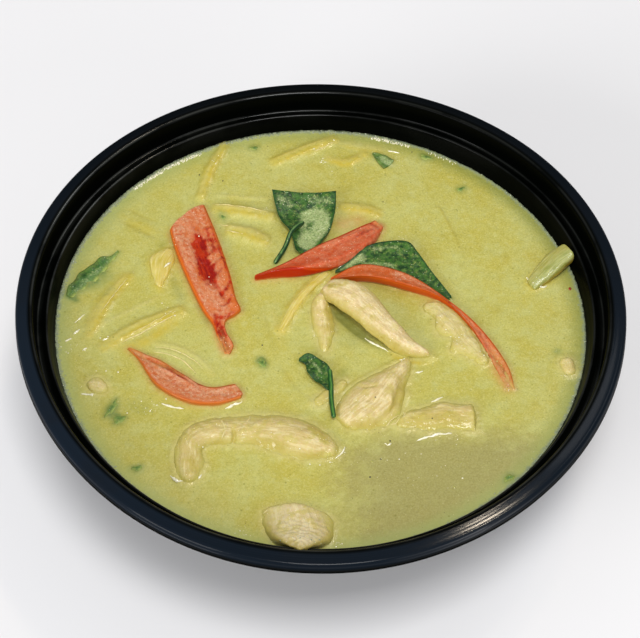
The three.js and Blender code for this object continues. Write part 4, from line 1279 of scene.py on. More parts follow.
def slice_of_chicken(name, left, right, rise, foot=(-5, -5), lumps_high=0.35, phase=0.0, bow=(0, 0),
                     end=3.0, squareness=2.2, rough=1.0, film=0.3, tilt=0.0):
    front = float(name == "chicken_front")
    coated = film > THICK_FILM

    def heights(u, v):
        crown, keel = blend(rise, u) + tilt * v, blend(foot, u)
        crown = crown - coated * (1 - front) * 0.6 * crown * np.abs(v) ** 2.5
        uneven = lumps_high * np.sin(9 * u + 2.2 * v + phase) * (1 - v**2)
        return crown + 0.5 * uneven, keel - 0.5 * uneven

    flare = LOW_FLARE if coated else (0, 0)
    shape = loft(left, right, heights, flare, bow, squareness=squareness, end=end, step=0.46)
    points, u, v, w = shape["points"], shape["u"], shape["v"], shape["w"]
    half = shape["width"][:, None] / 2
    seed = 20 + len(name)
    fibres = np.dstack([u * shape["length"] / 7, v * half / 0.9, 0 * u])
    relief = 0.08 * lumps(fibres, 1.0, seed) + 0.34 * lumps(points, 4.6, seed + 1)
    wrinkles = np.dstack([u * shape["length"] / 1.1, v * half / 3.2, 0 * u])
    relief = rough * (relief + 0.1 * lumps(points, 1.4, seed + 2) + 0.07 * lumps(wrinkles, 1.0, seed + 4))
    depth, stain = marked(points, CHICKEN_MARKS.get(name, ()), w > 0)
    relief = relief - depth
    if front:
        wander = 0.7 * lumps(points, 3.4, seed + 5)
        rings = np.sin(2 * np.pi * (u * shape["length"] / FOLD_SPACING - 1.1 * v**2 + wander))
        relief = relief + 0.17 * rings * np.clip(w, 0, 1) * np.clip((u - 0.08) / 0.25, 0, 1)
        stain = stain + np.clip((u - 0.66) / 0.3, 0, 1) * 0.6 + 0.12 * np.clip(-rings, 0, 1)
    blush = np.clip(0.5 + 0.8 * lumps(points, 7.0, seed + 3), 0, 1)
    white = {"chicken_front": 1.0, "chicken_far_right": 0.5}.get(name, 0.0)
    ends = np.minimum(u, 2 - 2 * u if front else 1 - u) * shape["length"]
    margin = np.minimum((1 - np.abs(v)) * half * (1 + 2 * front * u), ends)
    veil = film * np.clip(1.15 - margin / FILM_MARGIN, 0.42, 1) * np.clip(1.6 - 1.6 * front * u, 0, 1)
    masks = {"stain": np.clip(stain, 0, 1), "blush": blush, "white": white + 0 * u, "film": veil}
    food(name, shape, CHICKEN_FINISH, "pale", relief, masks)


for name, piece in CHICKEN.items():
    slice_of_chicken(name, **piece)
print("chicken:", len(CHICKEN), "slices")

# %% [markdown]
# ## Bamboo shoots
#
# Bamboo is cut into thin square strips. Their tops are pale where the curry coats them, and their sides
# stay amber and slightly glassy. The strips are lofted between two lines that run beside their middle.

# %% The finish of bamboo


def bamboo_finish(name, dull, pale, side_colour):
    finish = Finish(name)
    along, across, height = (finish.mask(key) for key in ("along", "across", "height"))
    fibre = finish.streaks(along * 0.2, across * 2.4, height)
    soft = finish.grain(2.2, detail=3)
    finish.colour = finish.mix(fibre.between(0.25, 0.8), dull, pale)
    side = 1 - (height + 0.5 * (soft - 0.5)).between(-0.2, 0.85)
    near = (0.5 - 0.5 * across).up_to_one()
    finish.paint((side + 0.6 * near * soft).up_to_one() * 0.85, side_colour)
    ragged = finish.height() + 1.2 * (soft - 0.5)
    low = 1 - ragged.between(CURRY_LEVEL - 0.2, CURRY_LEVEL + 1.0)
    finish.paint(low * 0.8, srgb(186, 170, 66))
    finish.set(Base_Color=finish.colour, Roughness=0.28 + 0.22 * fibre)
    finish.set(Subsurface_Weight=0.35, Subsurface_Scale=0.002, Subsurface_Radius=(1.0, 0.8, 0.3))
    finish.set(Specular_IOR_Level=0.4, Coat_Weight=0.3, Coat_Roughness=0.12)
    finish.bump(0.12 * fibre + 0.08 * soft)
    return finish


BAMBOO_FINISH = bamboo_finish("bamboo_shoot", srgb(198, 178, 66), srgb(222, 208, 136), srgb(192, 158, 22))
CHUNK_FINISH = bamboo_finish(
    "bamboo_chunk_flesh", srgb(138, 144, 66), srgb(184, 184, 118), srgb(168, 138, 22))

# %% Strips, the big chunk, and two soft lumps
# Each strip is the line of its middle and how high it stands along it, and a width if it isn't the usual.
BAMBOO_STRIPS = {
    "bamboo_far_left": ([[-30.6, 74], [-35, 63.4], [-37.9, 50.6]], [0.8, 1, 0.9]),
    "bamboo_far_middle": ([[5.6, 77], [-4.7, 71.8], [-15.6, 66]], [0.7, 1.1, 0.7]),
    "bamboo_far_bent": ([[1.8, 68.4], [8, 66.2], [15.2, 70.4]], [0.4, 0.7, 0.5], 2.2),
    "bamboo_upper": ([[-33.6, 46.9], [-25.2, 45.4], [-14.6, 42.8]], [0.8, 1.1, 0.8]),
    "bamboo_lower": ([[-29.2, 37.7], [-23.4, 35.8], [-16.1, 32.4]], [1, 1.4, 0.9], 3.4),
    "bamboo_stub": ([[-48.8, 28.6], [-48.6, 21.6], [-49.2, 14.2]], [0.7, 1.5, 1], 5.4),
    "bamboo_behind_leaf": ([[6.6, 47.2], [13, 46.4], [19.6, 44.4]], [0.6, 0.9, 0.5]),
    "bamboo_middle": ([[2.4, 20.6], [-4.6, 11.8], [-12, -3]], [0.8, 1.2, 0.7], 3.2),
    "bamboo_left": ([[-58.6, 19.9], [-64.8, 8.8], [-69.8, -4.6]], [0.6, 0.9, 0.6]),
    "bamboo_near_left": ([[-41.9, 5.6], [-54.4, -0.9], [-65.8, -9.4]], [0.8, 1.2, 0.6], 3.4),
}
# The stub is no strip but a short wedge, and has two edges of its own.
STUB_EDGES = ([[-44.9, 29.4], [-44.8, 24.6], [-46.2, 20], [-48.6, 13.6]],
              [[-48.2, 30.2], [-52.8, 26.2], [-52.3, 21], [-50.4, 14.8]])
# How far the strips that the curry closes over have settled into it.
SETTLED = 0.55


def bamboo_strip(name, path, rise, width=BAMBOO_WIDTH):
    spine, onward = along_path(smooth_path(path), np.array([0, 0.5, 1.0]))
    beside = np.column_stack([-onward[:, 1], onward[:, 0]]) * width / 2
    sides = STUB_EDGES if name == "bamboo_stub" else (spine + beside, spine - beside)
    sunk = SETTLED * (CREEP.get(name, CREEP["bamboo"]) == 1)

    def heights(u, v):
        top = blend(rise, u) - sunk - 0.25 * v**2
        return top, top - BAMBOO_DEPTH

    shape = loft(*sides, heights, squareness=3.4, end=0.9, sharpness=2.5, step=0.4)
    u, v = shape["u"], shape["v"]
    fibres = np.dstack([u * shape["length"] / 8, v * width / 1.3, 0 * u])
    relief = 0.1 * lumps(fibres, 1.0, 40 + len(name)) + 0.1 * lumps(shape["points"], 3.0, 41)
    food(name, shape, BAMBOO_FINISH, "amber", relief)


for name, strip in BAMBOO_STRIPS.items():
    bamboo_strip(name, *strip)


def chunk_heights(u, v):
    return blend([1.4, 4.2, 6.6], u) - 0.3 * v**2, blend([-2.4, 0.4, 2.4], u) + 0 * v


chunk = loft([[63.6, 16.6], [70.3, 24.6], [75.8, 27.6]], [[65.8, 12.8], [72.6, 17.4], [78.9, 22.6]],
             chunk_heights, squareness=4.0, end=0.9, sharpness=2.5, step=0.36)
food("bamboo_chunk", chunk, CHUNK_FINISH, "amber", 0.16 * lumps(chunk["points"], 2.5, 50))

LUMPS = {
    "lump_left": ([[-69.6, -21.6], [-66, -19.8], [-62.6, -23]], [[-69, -24.4], [-66, -26.6], [-62.4, -26]]),
    "lump_right": ([[72, -12.6], [75.4, -13], [76.9, -17.8]], [[71.4, -15.4], [72.6, -18.6], [75.6, -20]]),
}


def lump_heights(u, v):
    return blend([1, 1.4, 1], u) + 0 * v, -2.5 + 0 * v


for name, (left, right) in LUMPS.items():
    shape = loft(left, right, lump_heights, end=1.6, step=0.36)
    bumps = 0.25 * lumps(shape["points"], 2.0, 60)
    even = {"stain": 0, "blush": 1, "white": 0.3, "film": 0.1}
    masks = {key: np.full_like(shape["u"], value) for key, value in even.items()}
    food(name, shape, CHICKEN_FINISH, "pale", bumps, masks)
print("bamboo:", len(BAMBOO_STRIPS) + 1, "pieces, and", len(LUMPS), "lumps")

# %% Scraps of herb
# Each is a place, a width and a length in mm, and the angle it lies at.
FLECKS = [
    ((-61.2, -31.4), 1, 3.4, 65), ((-58.8, -35.4), 1.5, 1.9, 20), ((-17.2, -14.6), 1.1, 1.9, 110),
    ((-52.6, -52.6), 0.9, 1.6, 10), ((45.2, 54.8), 0.8, 1.5, 30), ((34.4, 68.6), 1, 1.8, 160),
    ((-21.2, 72.6), 0.8, 1.3, 0), ((-30.6, 43.1), 0.8, 1.4, 120), ((54.4, -56), 1, 1.6, 25),
]
FLECK_RISE = 0.36
FLECK_CORNERS = 28


def fleck(at, width, length, lean, index):
    """A torn scrap that floats: a domed top, a ragged outline and a flat underside."""
    angle = np.linspace(0, 2 * np.pi, FLECK_CORNERS, endpoint=False)
    ragged = 1 + 0.14 * np.sin(3 * angle + 2 * index) + 0.1 * np.sin(5 * angle + index)
    along, across = length * ragged * np.cos(angle), width * ragged * np.sin(angle)
    lean = math.radians(lean)
    outline = np.column_stack([along * math.cos(lean) - across * math.sin(lean),
                               along * math.sin(lean) + across * math.cos(lean)])
    rows = [(0.4, FLECK_RISE), (0.8, 0.8 * FLECK_RISE), (1.0, 0.3 * FLECK_RISE), (0.95, -0.5)]
    rings = [np.column_stack([np.array(at) + share * outline, np.full(FLECK_CORNERS, CURRY_LEVEL + height)])
             for share, height in rows]
    points = np.vstack([[(*at, CURRY_LEVEL + FLECK_RISE)], *rings, [(*at, CURRY_LEVEL - 0.5)]])
    return points, skin_faces(len(rings), FLECK_CORNERS)


herb_points, herb_faces = join(*(fleck(*scrap, index) for index, scrap in enumerate(FLECKS)))
wet_through = 0.5 + 0.5 * lumps(herb_points, 1.2, 90)
# How far in from the edge each point of one scrap is, in mm.
to_edge = np.repeat([1.4, 1.0, 0.5, 0.0, 0.0, 0.0], [1] + [FLECK_CORNERS] * 4 + [1])
masks = {"share": 0 * wet_through, "across": 1 + 0 * wet_through, "milk": 0.4 * wet_through,
         "edge": np.tile(to_edge, len(FLECKS)), "sunk": 0.8 + 0 * wet_through}
make_piece("herb_flecks", herb_points, herb_faces, BASIL, (), masks)
FOOD.append(("green", CREEP["herb"], herb_points, herb_faces))
print("scraps of herb:", len(FLECKS))

# %% [markdown]
# ## The pool of curry
#
# Coconut curry is opaque, but only just: what lies a millimetre under its surface still shows as a
# pale, pink or green ghost, and it climbs a little up everything that it touches. So the surface is a
# fine grid of points, and each one is asked two things: how far it is from the nearest piece, and what
# lies straight below it. The first raises it, and the second tints it.

# %% A round grid of points
# How many cells cross the pool, and how far it reaches into the wall, in mm.
GRID = 290
WALL_REACH = 0.15


def disc(n):
    """A square grid of points, pressed into a unit circle without a centre that bunches up."""
    a, b = np.meshgrid(np.linspace(-1, 1, n + 1), np.linspace(-1, 1, n + 1), indexing="ij")
    wide = np.abs(a) > np.abs(b)
    radius = np.where(wide, a, b)
    safe = np.where(radius == 0, 1, radius)
    angle = np.where(wide, np.pi / 4 * b / safe, np.pi / 2 - np.pi / 4 * a / safe)
    return radius * np.cos(angle), radius * np.sin(angle)


def wall_radius(height):
    profile = np.array(lower_wall(0))
    return float(np.interp(height, profile[:, 1], profile[:, 0]))


across_x, across_y = disc(GRID)
bearing = np.arctan2(across_y, across_x)
pool_radius = (wall_radius(CURRY_LEVEL) + WALL_REACH) * softening(bearing, CURRY_LEVEL)[0]
pool = np.dstack([across_x * pool_radius, across_y * pool_radius])
from_wall = pool_radius * (1 - np.hypot(across_x, across_y))
print("points on the surface:", pool[..., 0].size)

# %% What lies above or below each point of the surface
# All in mm from the curry's level: where a look straight down starts and ends, and how near to the level
# a point of a piece has to be to count as its shore.
DOWN = Vector((0, 0, -1))
LOOK_FROM = 12.0
DEEP = -3.0
SHORE_BAND = 0.35


def shore_distance(pool, wanted):
    """Distance to the nearest place where a piece of this kind comes through the surface."""
    bands = [v[np.abs(v[:, 2] - CURRY_LEVEL) < SHORE_BAND] for kind, _, v, _ in FOOD if kind == wanted]
    shore = np.vstack(bands)
    tree = KDTree(len(shore))
    for i, (x, y, _) in enumerate(shore):
        tree.insert((x, y, 0), i)
    tree.balance()
    found = [tree.find((x, y, 0))[2] for x, y in pool.reshape(-1, 2)]
    return np.array(found).reshape(pool.shape[:-1])


def tops(pool):
    """Height of the highest food at each point, from the curry's level, and which piece that is."""
    points, faces = join(*((vertices, faces) for _, _, vertices, faces in FOOD))
    owner = np.repeat(np.arange(len(FOOD)), [len(piece[3]) for piece in FOOD])
    tree = BVHTree.FromPolygons(points.tolist(), faces)
    top = np.full(pool.shape[0] * pool.shape[1], DEEP)
    piece = np.full(len(top), -1)
    for i, (x, y) in enumerate(pool.reshape(-1, 2)):
        hit, _, face, _ = tree.ray_cast(Vector((x, y, CURRY_LEVEL + LOOK_FROM)), DOWN, LOOK_FROM - DEEP)
        if hit is not None:
            top[i] = hit.z - CURRY_LEVEL
            piece[i] = owner[face]
    return top.reshape(pool.shape[:-1]), piece.reshape(pool.shape[:-1])


def spread_out(values, steps):
    """The largest value among each point and its neighbours, step by step."""
    for _ in range(steps):
        beside = [np.roll(values, way, axis) for axis in (0, 1) for way in (1, -1)]
        values = np.maximum.reduce([values, *beside])
    return values


def soften(values, steps):
    """Each value blended with its neighbours, step by step."""
    for _ in range(steps):
        for axis in (0, 1):
            values = 0.5 * values + 0.25 * (np.roll(values, 1, axis) + np.roll(values, -1, axis))
    return values


# How high the curry clings to the side of each kind of food, and over what width, in mm.
CLING = {"pale": (0.4, 1.6), "amber": (0.25, 0.8), "pink": (0.35, 0.7), "green": (0.25, 0.6)}
shore = {kind: shore_distance(pool, kind) for kind in CLING}
touch = np.minimum.reduce(list(shore.values()))
top, piece_under = tops(pool)
kinds = np.array([piece[0] for piece in FOOD] + [""])[piece_under]
creep = np.array([piece[1] for piece in FOOD] + [0.0])[piece_under]
print("food over", int((top > 0).sum()), "points, and just below", int(((top <= 0) & (top > DEEP)).sum()))

# %% Sunk strips, threads, blots, and painted shade in creases and under pieces
# Each is a line with its width and height in mm, and the tint it brings to the surface. The darker olive
# lines along creases are painted shade, and the shade lines are painted shadows under and beside pieces.
BELOW = [
    ([[-63.3, 41.9], [-56.5, 37.7], [-51, 34.4]], 0.8, -0.2, "oil_and_crease_shade", 0.8),
    ([[-60.8, 46.9], [-56.2, 43.5], [-51.6, 41]], 0.6, -0.15, "oil_and_crease_shade", 0.6),
    ([[-62.6, 43.6], [-56, 39.6], [-50.6, 36.4]], 1.6, 0.15, "amber", 0.3),
    ([[-50.8, -7.1], [-44.4, -8.2], [-38.6, -11.3], [-34.6, -15], [-31.4, -19.5]], 0.9, 0.3, "pale", 0.5),
    ([[-50.7, -9.8], [-44.9, -10.5], [-40, -13.2], [-36, -17.6]], 0.6, 0.22, "pale", 0.4),
    ([[-50.7, -8.4], [-44.6, -9.3], [-39.3, -12.2], [-35.3, -16.3]], 0.35, -0.15, "oil_and_crease_shade", 0.4),
    ([[-34.3, 52.4], [-25.3, 51.5], [-14.8, 50.7]], 0.5, 0.2, "pale", 0.5),
    ([[-34.3, 50.8], [-25.3, 49.9], [-14.8, 49.1]], 0.35, -0.12, "oil_and_crease_shade", 0.35),
    ([[36.4, 46.8], [37.8, 46.9], [39.7, 42.7], [42.2, 35.6], [44.7, 27.8]], 0.35, 0.2, "oil_and_crease_shade", 1),
    ([[-54, -50], [-40, -62], [-24, -70]], 9, 0, "pale", 0.16),
    ([[5, 75.9], [13.2, 73.6], [22.9, 71.9]], 1.2, 0.2, "pale", 0.45),
    ([[5, 74.3], [13.2, 72], [22.9, 70.3]], 0.6, 0.05, "amber", 0.4),
    ([[-16.7, 6.4], [-15.6, -0.2], [-13.4, -7.9]], 0.6, -0.1, "oil_and_crease_shade", 0.35),
    ([[-14.6, 6], [-13.4, -0.6], [-11.4, -7]], 1, 0.15, "pale", 0.35),
    ([[-25.1, 27.9], [-22.3, 26.2], [-19.4, 23.8]], 0.5, -0.1, "oil_and_crease_shade", 0.35),
    ([[-11.8, -15], [-7.3, -22.8], [-2.5, -28]], 0.5, -0.12, "oil_and_crease_shade", 0.4),
    ([[5.1, -28], [7.5, -23.9], [12.6, -19.5], [18, -16.2], [23.5, -12.4]], 0.4, -0.15, "oil_and_crease_shade", 0.8),
    ([[-55.2, 27.2], [-60.6, 16], [-66.6, 3]], 0.5, -0.1, "oil_and_crease_shade", 0.35),
    ([[-61.6, 20.2], [-67.8, 9], [-72.6, -3]], 1, 0.15, "amber", 0.35),
    ([[-18.4, -12.6], [-17.2, -14.3], [-16.3, -15.8]], 1.1, 0, "green", 0.9),
    ([[-61.8, -29.8], [-60.7, -32.7], [-59.6, -35.5]], 2, 0.1, "green", 0.5),
    ([[-53.5, -52.1], [-51.7, -52.8]], 1.2, 0, "green", 0.3),
    ([[-77.6, 12.3], [-75.6, 10.3], [-73.3, 8.3]], 1.2, 0.1, "green", 0.75),
    ([[-72.1, 13.4], [-67.7, 16.6], [-64, 21.4]], 2.4, 0.1, "green", 0.5),
    ([[-66.6, 10], [-63, 15]], 1.4, 0, "green", 0.25),
    ([[-58.6, -30.4], [-53, -31.4], [-49.4, -33.6]], 2.6, 0.05, "green", 0.2),
    ([[-50.6, 30], [-47, 33.4]], 2.2, 0, "green", 0.22),
    ([[-4.6, -8], [-1, -12.6], [2.6, -17]], 3, 0, "green", 0.22),
    ([[-72.1, -7.5], [-66.5, -0.6], [-59.3, 4.4], [-51.9, 9.1], [-45.9, 13]], 0.7, 0.15, "pale", 0.45),
    ([[-64.5, -8.2], [-57.2, -4.4], [-51.4, -0.6], [-43.1, 5.2]], 0.5, 0.15, "pale", 0.5),
    ([[-61.3, -9.9], [-54.2, -7.6], [-46.9, -1.5], [-41.9, 2.4]], 2, 0.1, "amber", 0.75),
    ([[-61.3, -7.9], [-54.2, -5.6], [-46.9, 0.5], [-41.9, 4.4]], 0.5, 0.1, "oil_and_crease_shade", 0.45),
    ([[-71, -2.5], [-68.4, 5.2], [-64.4, 13], [-60.1, 19]], 0.5, 0.15, "pale", 0.45),
    ([[-68.7, -4.4], [-65.4, 4.4], [-61.2, 12.2], [-57.6, 17.8]], 0.5, -0.08, "oil_and_crease_shade", 0.45),
    ([[-34.1, 48.1], [-28.4, 46.9], [-22.7, 46], [-15.1, 46]], 0.5, 0.15, "pale", 0.7),
    ([[-31.9, 39.5], [-26.2, 38.3], [-20.6, 37.4], [-16.1, 33.7]], 0.8, 0.2, "pale", 0.8),
    ([[-34.8, 56], [-34.4, 62], [-31.6, 70]], 0.5, 0.1, "pale", 0.5),
    ([[4, 38.6], [10, 40.8], [16, 42.2]], 3.2, 0.2, "pink", 0.55),
    ([[18.4, 40], [20.6, 38.4]], 1.4, 0, "pink", 0.5),
    ([[50.4, -15], [53.6, -21], [56.4, -26.6]], 1.8, 0.1, "pink", 0.35),
    ([[-31.6, -2], [-29.6, -7], [-28.6, -12]], 1.6, 0.1, "pink", 0.5),
    ([[-37.4, 9], [-32.4, -1.6]], 1.6, 0, "shade", 0.5),
    ([[-46.4, 20], [-41.6, 8]], 1.4, 0, "shade", 0.4),
    ([[-54, -20.6], [-45, -29.4], [-33, -33]], 1.6, 0, "amber", 0.3),
    ([[4.6, 7], [7.2, 2.4], [11, -2.4], [15.4, -6.4]], 1.6, 0, "shade", 0.9),
    ([[4, 2], [8, -4], [13, -8.6]], 4.4, 0, "shade", 0.25),
    ([[1.6, 6.8], [7, 1.4], [13.2, -5], [19.6, -10.3]], 0.9, -0.1, "shade", 0.8),
    ([[20.6, -11], [26, -14.2], [33, -15]], 0.8, 0, "amber", 0.8),
    ([[72.2, -9], [71, -11.6]], 1.4, 0, "green", 0.6),
    ([[5.6, -20.4], [8.4, -16.8]], 1.4, 0, "green", 0.3),
]
# Yellow oil blots on the curry, each a place and a size in mm.
BLOTS = [(39.1, 35.2, 1), (43.9, 23, 1.1), (57.7, 26.2, 1.4), (55.7, 17.8, 1), (39.9, 49, 0.9),
         (40.8, 24.2, 1), (49.1, 9.5, 1.2), (54.1, 5.5, 1.4), (-17.6, 3.4, 0.8), (28, 62, 0.9),
         (14, 58, 0.8), (60, -6, 1), (-8, -50, 0.9), (-46, -44, 1)]

# The curry is amber on the near side of every strip, and pale on its far side.
for path, *_ in BAMBOO_STRIPS.values():
    BELOW.append((np.array(path) + [0.4, -1.0], 0.8, 0.0, "amber", 0.5))
    BELOW.append((np.array(path) + [-0.3, 0.8], 0.6, 0.05, "pale", 0.7))

tints = {key: np.zeros_like(touch) for key in ("pale", "amber", "pink", "green", "oil_and_crease_shade", "shade")}
rise = np.zeros_like(touch)
for path, width, height, tint, strength in BELOW:
    made = stroke(pool, path, width)
    rise += height * made
    tints[tint] += strength * made
for x, y, size in BLOTS:
    tints["oil_and_crease_shade"] += 0.5 * np.exp(-(((pool[..., 0] - x) ** 2 + (pool[..., 1] - y) ** 2) / size**2))
# A painted shade over a stretch at the near right, where the curry is drawn greyer, darker and less mottled:
# the sides where it ends, and how wide it fades in across and from the far side, in mm.
SHADE_LEFT, SHADE_RIGHT, SHADE_FAR = -6, 86, -33
FADE_ACROSS, FADE_FAR = 26, 14
x, y = pool[..., 0], pool[..., 1]
dull = np.clip((x - SHADE_LEFT) / FADE_ACROSS, 0, 1) * np.clip((SHADE_FAR - y) / FADE_FAR, 0, 1)
dull = dull * np.clip((SHADE_RIGHT - x) / FADE_ACROSS, 0, 1)

# %% Height of the surface
level_ground = np.dstack([pool, np.zeros_like(touch)])
ripples = lumps(level_ground, 3.2, 72)
fine_ripples = lumps(level_ground, 1.4, 73)
rise += 0.10 * lumps(level_ground, 14, 71) + 0.05 * ripples + 0.03 * fine_ripples
# How thick the curry lies on what it closes over, and how high it climbs the wall and over what width.
COVER = 0.22
WALL_CLIMB = 0.5
WALL_WIDTH = 0.6
covered = np.where(creep == 1, top + COVER, 0)
half_sunk = np.where((creep > 0.3) & (creep < 1), np.clip(top, -1.0, 1.5) * creep, 0)
climbing = soften(spread_out(covered, 2), 4) + soften(spread_out(half_sunk, 1), 5)
rise += np.clip(climbing, 0, 1.2) * (1 + 0.1 * ripples + 0.08 * fine_ripples)
nearby = soften(spread_out(np.clip(top, 0, 9), 6), 3)
for kind, (high, wide) in CLING.items():
    most = np.minimum(high, 0.5 * nearby) * (1 + 0.6 * ripples + 0.5 * fine_ripples)
    rise += most * np.exp(-shore[kind] / wide)
rise += (WALL_CLIMB + 0.25 * fine_ripples) * np.exp(-from_wall / WALL_WIDTH)
surface = np.dstack([pool, CURRY_LEVEL + rise])

# %% Tints from what is hidden under the surface
FADE = {"pale": 0.6, "amber": 0.36, "pink": 0.8, "green": 0.5}
cover = rise - top
for kind, fade in FADE.items():
    hidden = (kinds == kind) & (cover > 0)
    seen = np.where(hidden, np.exp(-np.maximum(cover, 0) / fade), 0.0)
    near = np.exp(-((shore[kind] / 0.9) ** 2))
    tints[kind] += soften(np.maximum(seen, 0.5 * near), 1)
# Painted shade: darker olive where the curry meets the chicken.
tints["oil_and_crease_shade"] += 0.15 * np.exp(-shore["pale"] / 1.6)
tints["pale"] += 0.3 * np.exp(-shore["pale"] / 1.2)
print("hidden food:", {kind: int(tints[kind].sum()) for kind in FADE})


# How far the pool's side stands in from the wall, and how far below its level the first ring lies.
WALL_GAP = 0.3
TOP_RING = 2


def pool_mesh(surface):
    """The surface, the side that follows the bowl's wall down, and the bottom."""
    n = surface.shape[0]
    index = np.arange(n * n).reshape(n, n)
    quads = np.stack([index[:-1, :-1], index[1:, :-1], index[1:, 1:], index[:-1, 1:]], -1).reshape(-1, 4)
    border = np.concatenate([index[0, :-1], index[:-1, -1], index[-1, :0:-1], index[:0:-1, 0]])
    angles = np.arctan2(*surface.reshape(-1, 3)[border, 1::-1].T)
    points, rings = [surface.reshape(-1, 3)], [border]
    profile = [(r, z) for r, z in lower_wall(-WALL_GAP, 10) if z < CURRY_LEVEL - TOP_RING][::-1]
    for radius, height in profile:
        stretch, lift = softening(angles, height)
        ring = np.column_stack([radius * stretch * np.cos(angles), radius * stretch * np.sin(angles),
                                height + lift])
        rings.append(sum(map(len, points)) + np.arange(len(border)))
        points.append(ring)
    bottom = sum(map(len, points))
    points.append(np.array([[0, 0, profile[-1][1]]]))
    faces = quads.tolist()
    for upper, lower in zip(rings, rings[1:]):
        sides = np.column_stack([upper, np.roll(upper, -1), np.roll(lower, -1), lower])
        faces += sides.tolist()
    faces += [(bottom, int(b), int(a)) for a, b in zip(rings[-1], np.roll(rings[-1], -1))]
    return np.vstack(points), faces


# %% The finish of the curry


def curry_finish():
    finish = Finish("green_curry")
    pale, amber, pink, green, oil_and_crease_shade, shade = (finish.mask(key) for key in tints)
    near_right_shade, wall, touching, wall_shadow_side = (finish.mask(key) for key in ("dull", "wall", "touching", "wall_shadow_side"))
    broad = finish.grain(20, detail=3)
    cloud = finish.grain(6.5, detail=5, roughness=0.6, seed=3.0)
    mottle = finish.grain(2.2, detail=4, roughness=0.65)
    grit = finish.grain(0.55, detail=3, roughness=0.7)
    dust = finish.grain(0.3, detail=2, roughness=0.7, seed=5.0)
    finish.colour = finish.mix(broad.between(0.35, 0.65), srgb(182, 173, 74), srgb(186, 182, 96))
    finish.paint(cloud.between(0.5, 0.68) * 0.4, srgb(184, 168, 50))
    finish.paint((1 - cloud.between(0.34, 0.5)) * 0.4, srgb(188, 190, 118))
    finish.paint(mottle.between(0.54, 0.7) * 0.4, srgb(164, 156, 48))
    finish.paint((1 - mottle.between(0.32, 0.46)) * 0.35, srgb(204, 202, 130))
    finish.paint(grit.between(0.48, 0.66) * 0.42, srgb(210, 204, 128))
    finish.paint((1 - grit.between(0.32, 0.46)) * 0.85, finish.shade(finish.colour, 0.78))
    finish.paint(dust.between(0.5, 0.7) * 0.3, srgb(148, 140, 42))
    # Painted shade at the near right: a greyer, darker olive with little mottle and a ragged edge.
    flat = finish.mix(grit.between(0.3, 0.7), srgb(144, 136, 72), srgb(162, 154, 92))
    spread = (near_right_shade + 1.1 * (cloud - 0.5) + 0.5 * (mottle - 0.5)).between(0.1, 1.0)
    finish.paint(spread * near_right_shade.between(0.0, 0.3) * 0.84, flat)
    ragged = wall + 2.2 * (mottle - 0.5) + 1.4 * (grit - 0.5)
    # Near the wall the curry is greener, and on the far right it is drawn darker as a painted shadow of the
    # wall.
    rim_colour = finish.mix(wall_shadow_side, srgb(158, 166, 94), srgb(130, 136, 58))
    finish.paint((1 - ragged.between(0.5, 7.0)) * 0.8, rim_colour)
    finish.paint(1 - ragged.between(0.1, 1.6), srgb(128, 138, 108))
    finish.paint(1 - ragged.between(-0.5, 0.5), srgb(56, 60, 48))
    film = 0.7 + 1.1 * (mottle - 0.5) + 0.5 * (grit - 0.5)
    finish.paint((pale * film).up_to_one() * 0.8, srgb(208, 194, 124))
    finish.paint((amber * film * 1.2).up_to_one() * 0.8, srgb(196, 170, 34))
    finish.paint((pink * film).up_to_one() * 0.9, srgb(196, 122, 74))
    finish.paint((green * film * 1.1).up_to_one() * 0.9, srgb(64, 110, 48))
    # Darker olive: the oil blots, and painted shade along creases and round the chicken.
    finish.paint((oil_and_crease_shade * film * 1.2).up_to_one() * 0.6, srgb(158, 142, 28))
    finish.paint(shade.up_to_one() * 0.7, srgb(98, 106, 44))
    olive = finish.dots(1.3, 0.24, 0.3) + finish.dots(3.1, 0.4, 0.3, seed=4.1)
    dark = finish.dots(4.3, 0.22, 0.35, seed=9.3)
    pearly = finish.dots(0.9, 0.15, 0.22, seed=6.7)
    finish.paint(olive.up_to_one() * 0.5, srgb(118, 118, 24))
    finish.paint(dark * 0.75, srgb(56, 54, 16))
    finish.paint(pearly * 0.55, srgb(232, 228, 172))
    finish.set(Base_Color=finish.colour, Roughness=(0.36 - 0.08 * touching + 0.16 * mottle).up_to_one())
    finish.set(Subsurface_Weight=0.15, Subsurface_Scale=0.001, Subsurface_Radius=(1.0, 0.9, 0.35))
    finish.set(Coat_Weight=(0.25 + 0.2 * touching).up_to_one(), Coat_Roughness=0.13)
    finish.bump(0.06 * grit + 0.12 * mottle + 0.04 * pearly)
    return finish


# The bearing where the wall's painted shadow on the curry is darkest.
WALL_SHADOW_BEARING = math.radians(28)
points, faces = pool_mesh(surface)
below_surface = len(points) - touch.size
masks = {**tints, "dull": dull, "wall": from_wall, "touching": np.exp(-((touch / 1.4) ** 2)),
         "wall_shadow_side": np.clip(1.6 * np.cos(bearing - WALL_SHADOW_BEARING) - 0.4, 0, 1)}
masks = {key: np.append(np.clip(values, 0, 99).ravel(), np.zeros(below_surface))
         for key, values in masks.items()}
make_piece("curry_pool", points, faces, curry_finish(), ["curry_sauce"], masks)
print("curry:", len(faces), "faces,", [round(float(v), 2) for v in (rise.min(), rise.max())], "mm")

# %% [markdown]
# ## Wet light, bubbles and froth
#
# What makes curry look hot and fresh is smaller than a grain of rice, and here most of it is painted light:
# near-white beads and threads put where wet edges glitter, as painted glints, pale threads along the
# edges of strips and folds, as painted highlights, then bubbles, and a froth that has dried against the
# wall. Each kind is one mesh of many small closed bodies, half sunk in whatever lies under them.

# %% The ground that small things lie on
ground_points, ground_faces = join(*((vertices, faces) for _, _, vertices, faces in FOOD), (points, faces))
GROUND = BVHTree.FromPolygons(ground_points.tolist(), ground_faces)
OVER_ALL = 15.0
DRAW = np.random.default_rng(11)


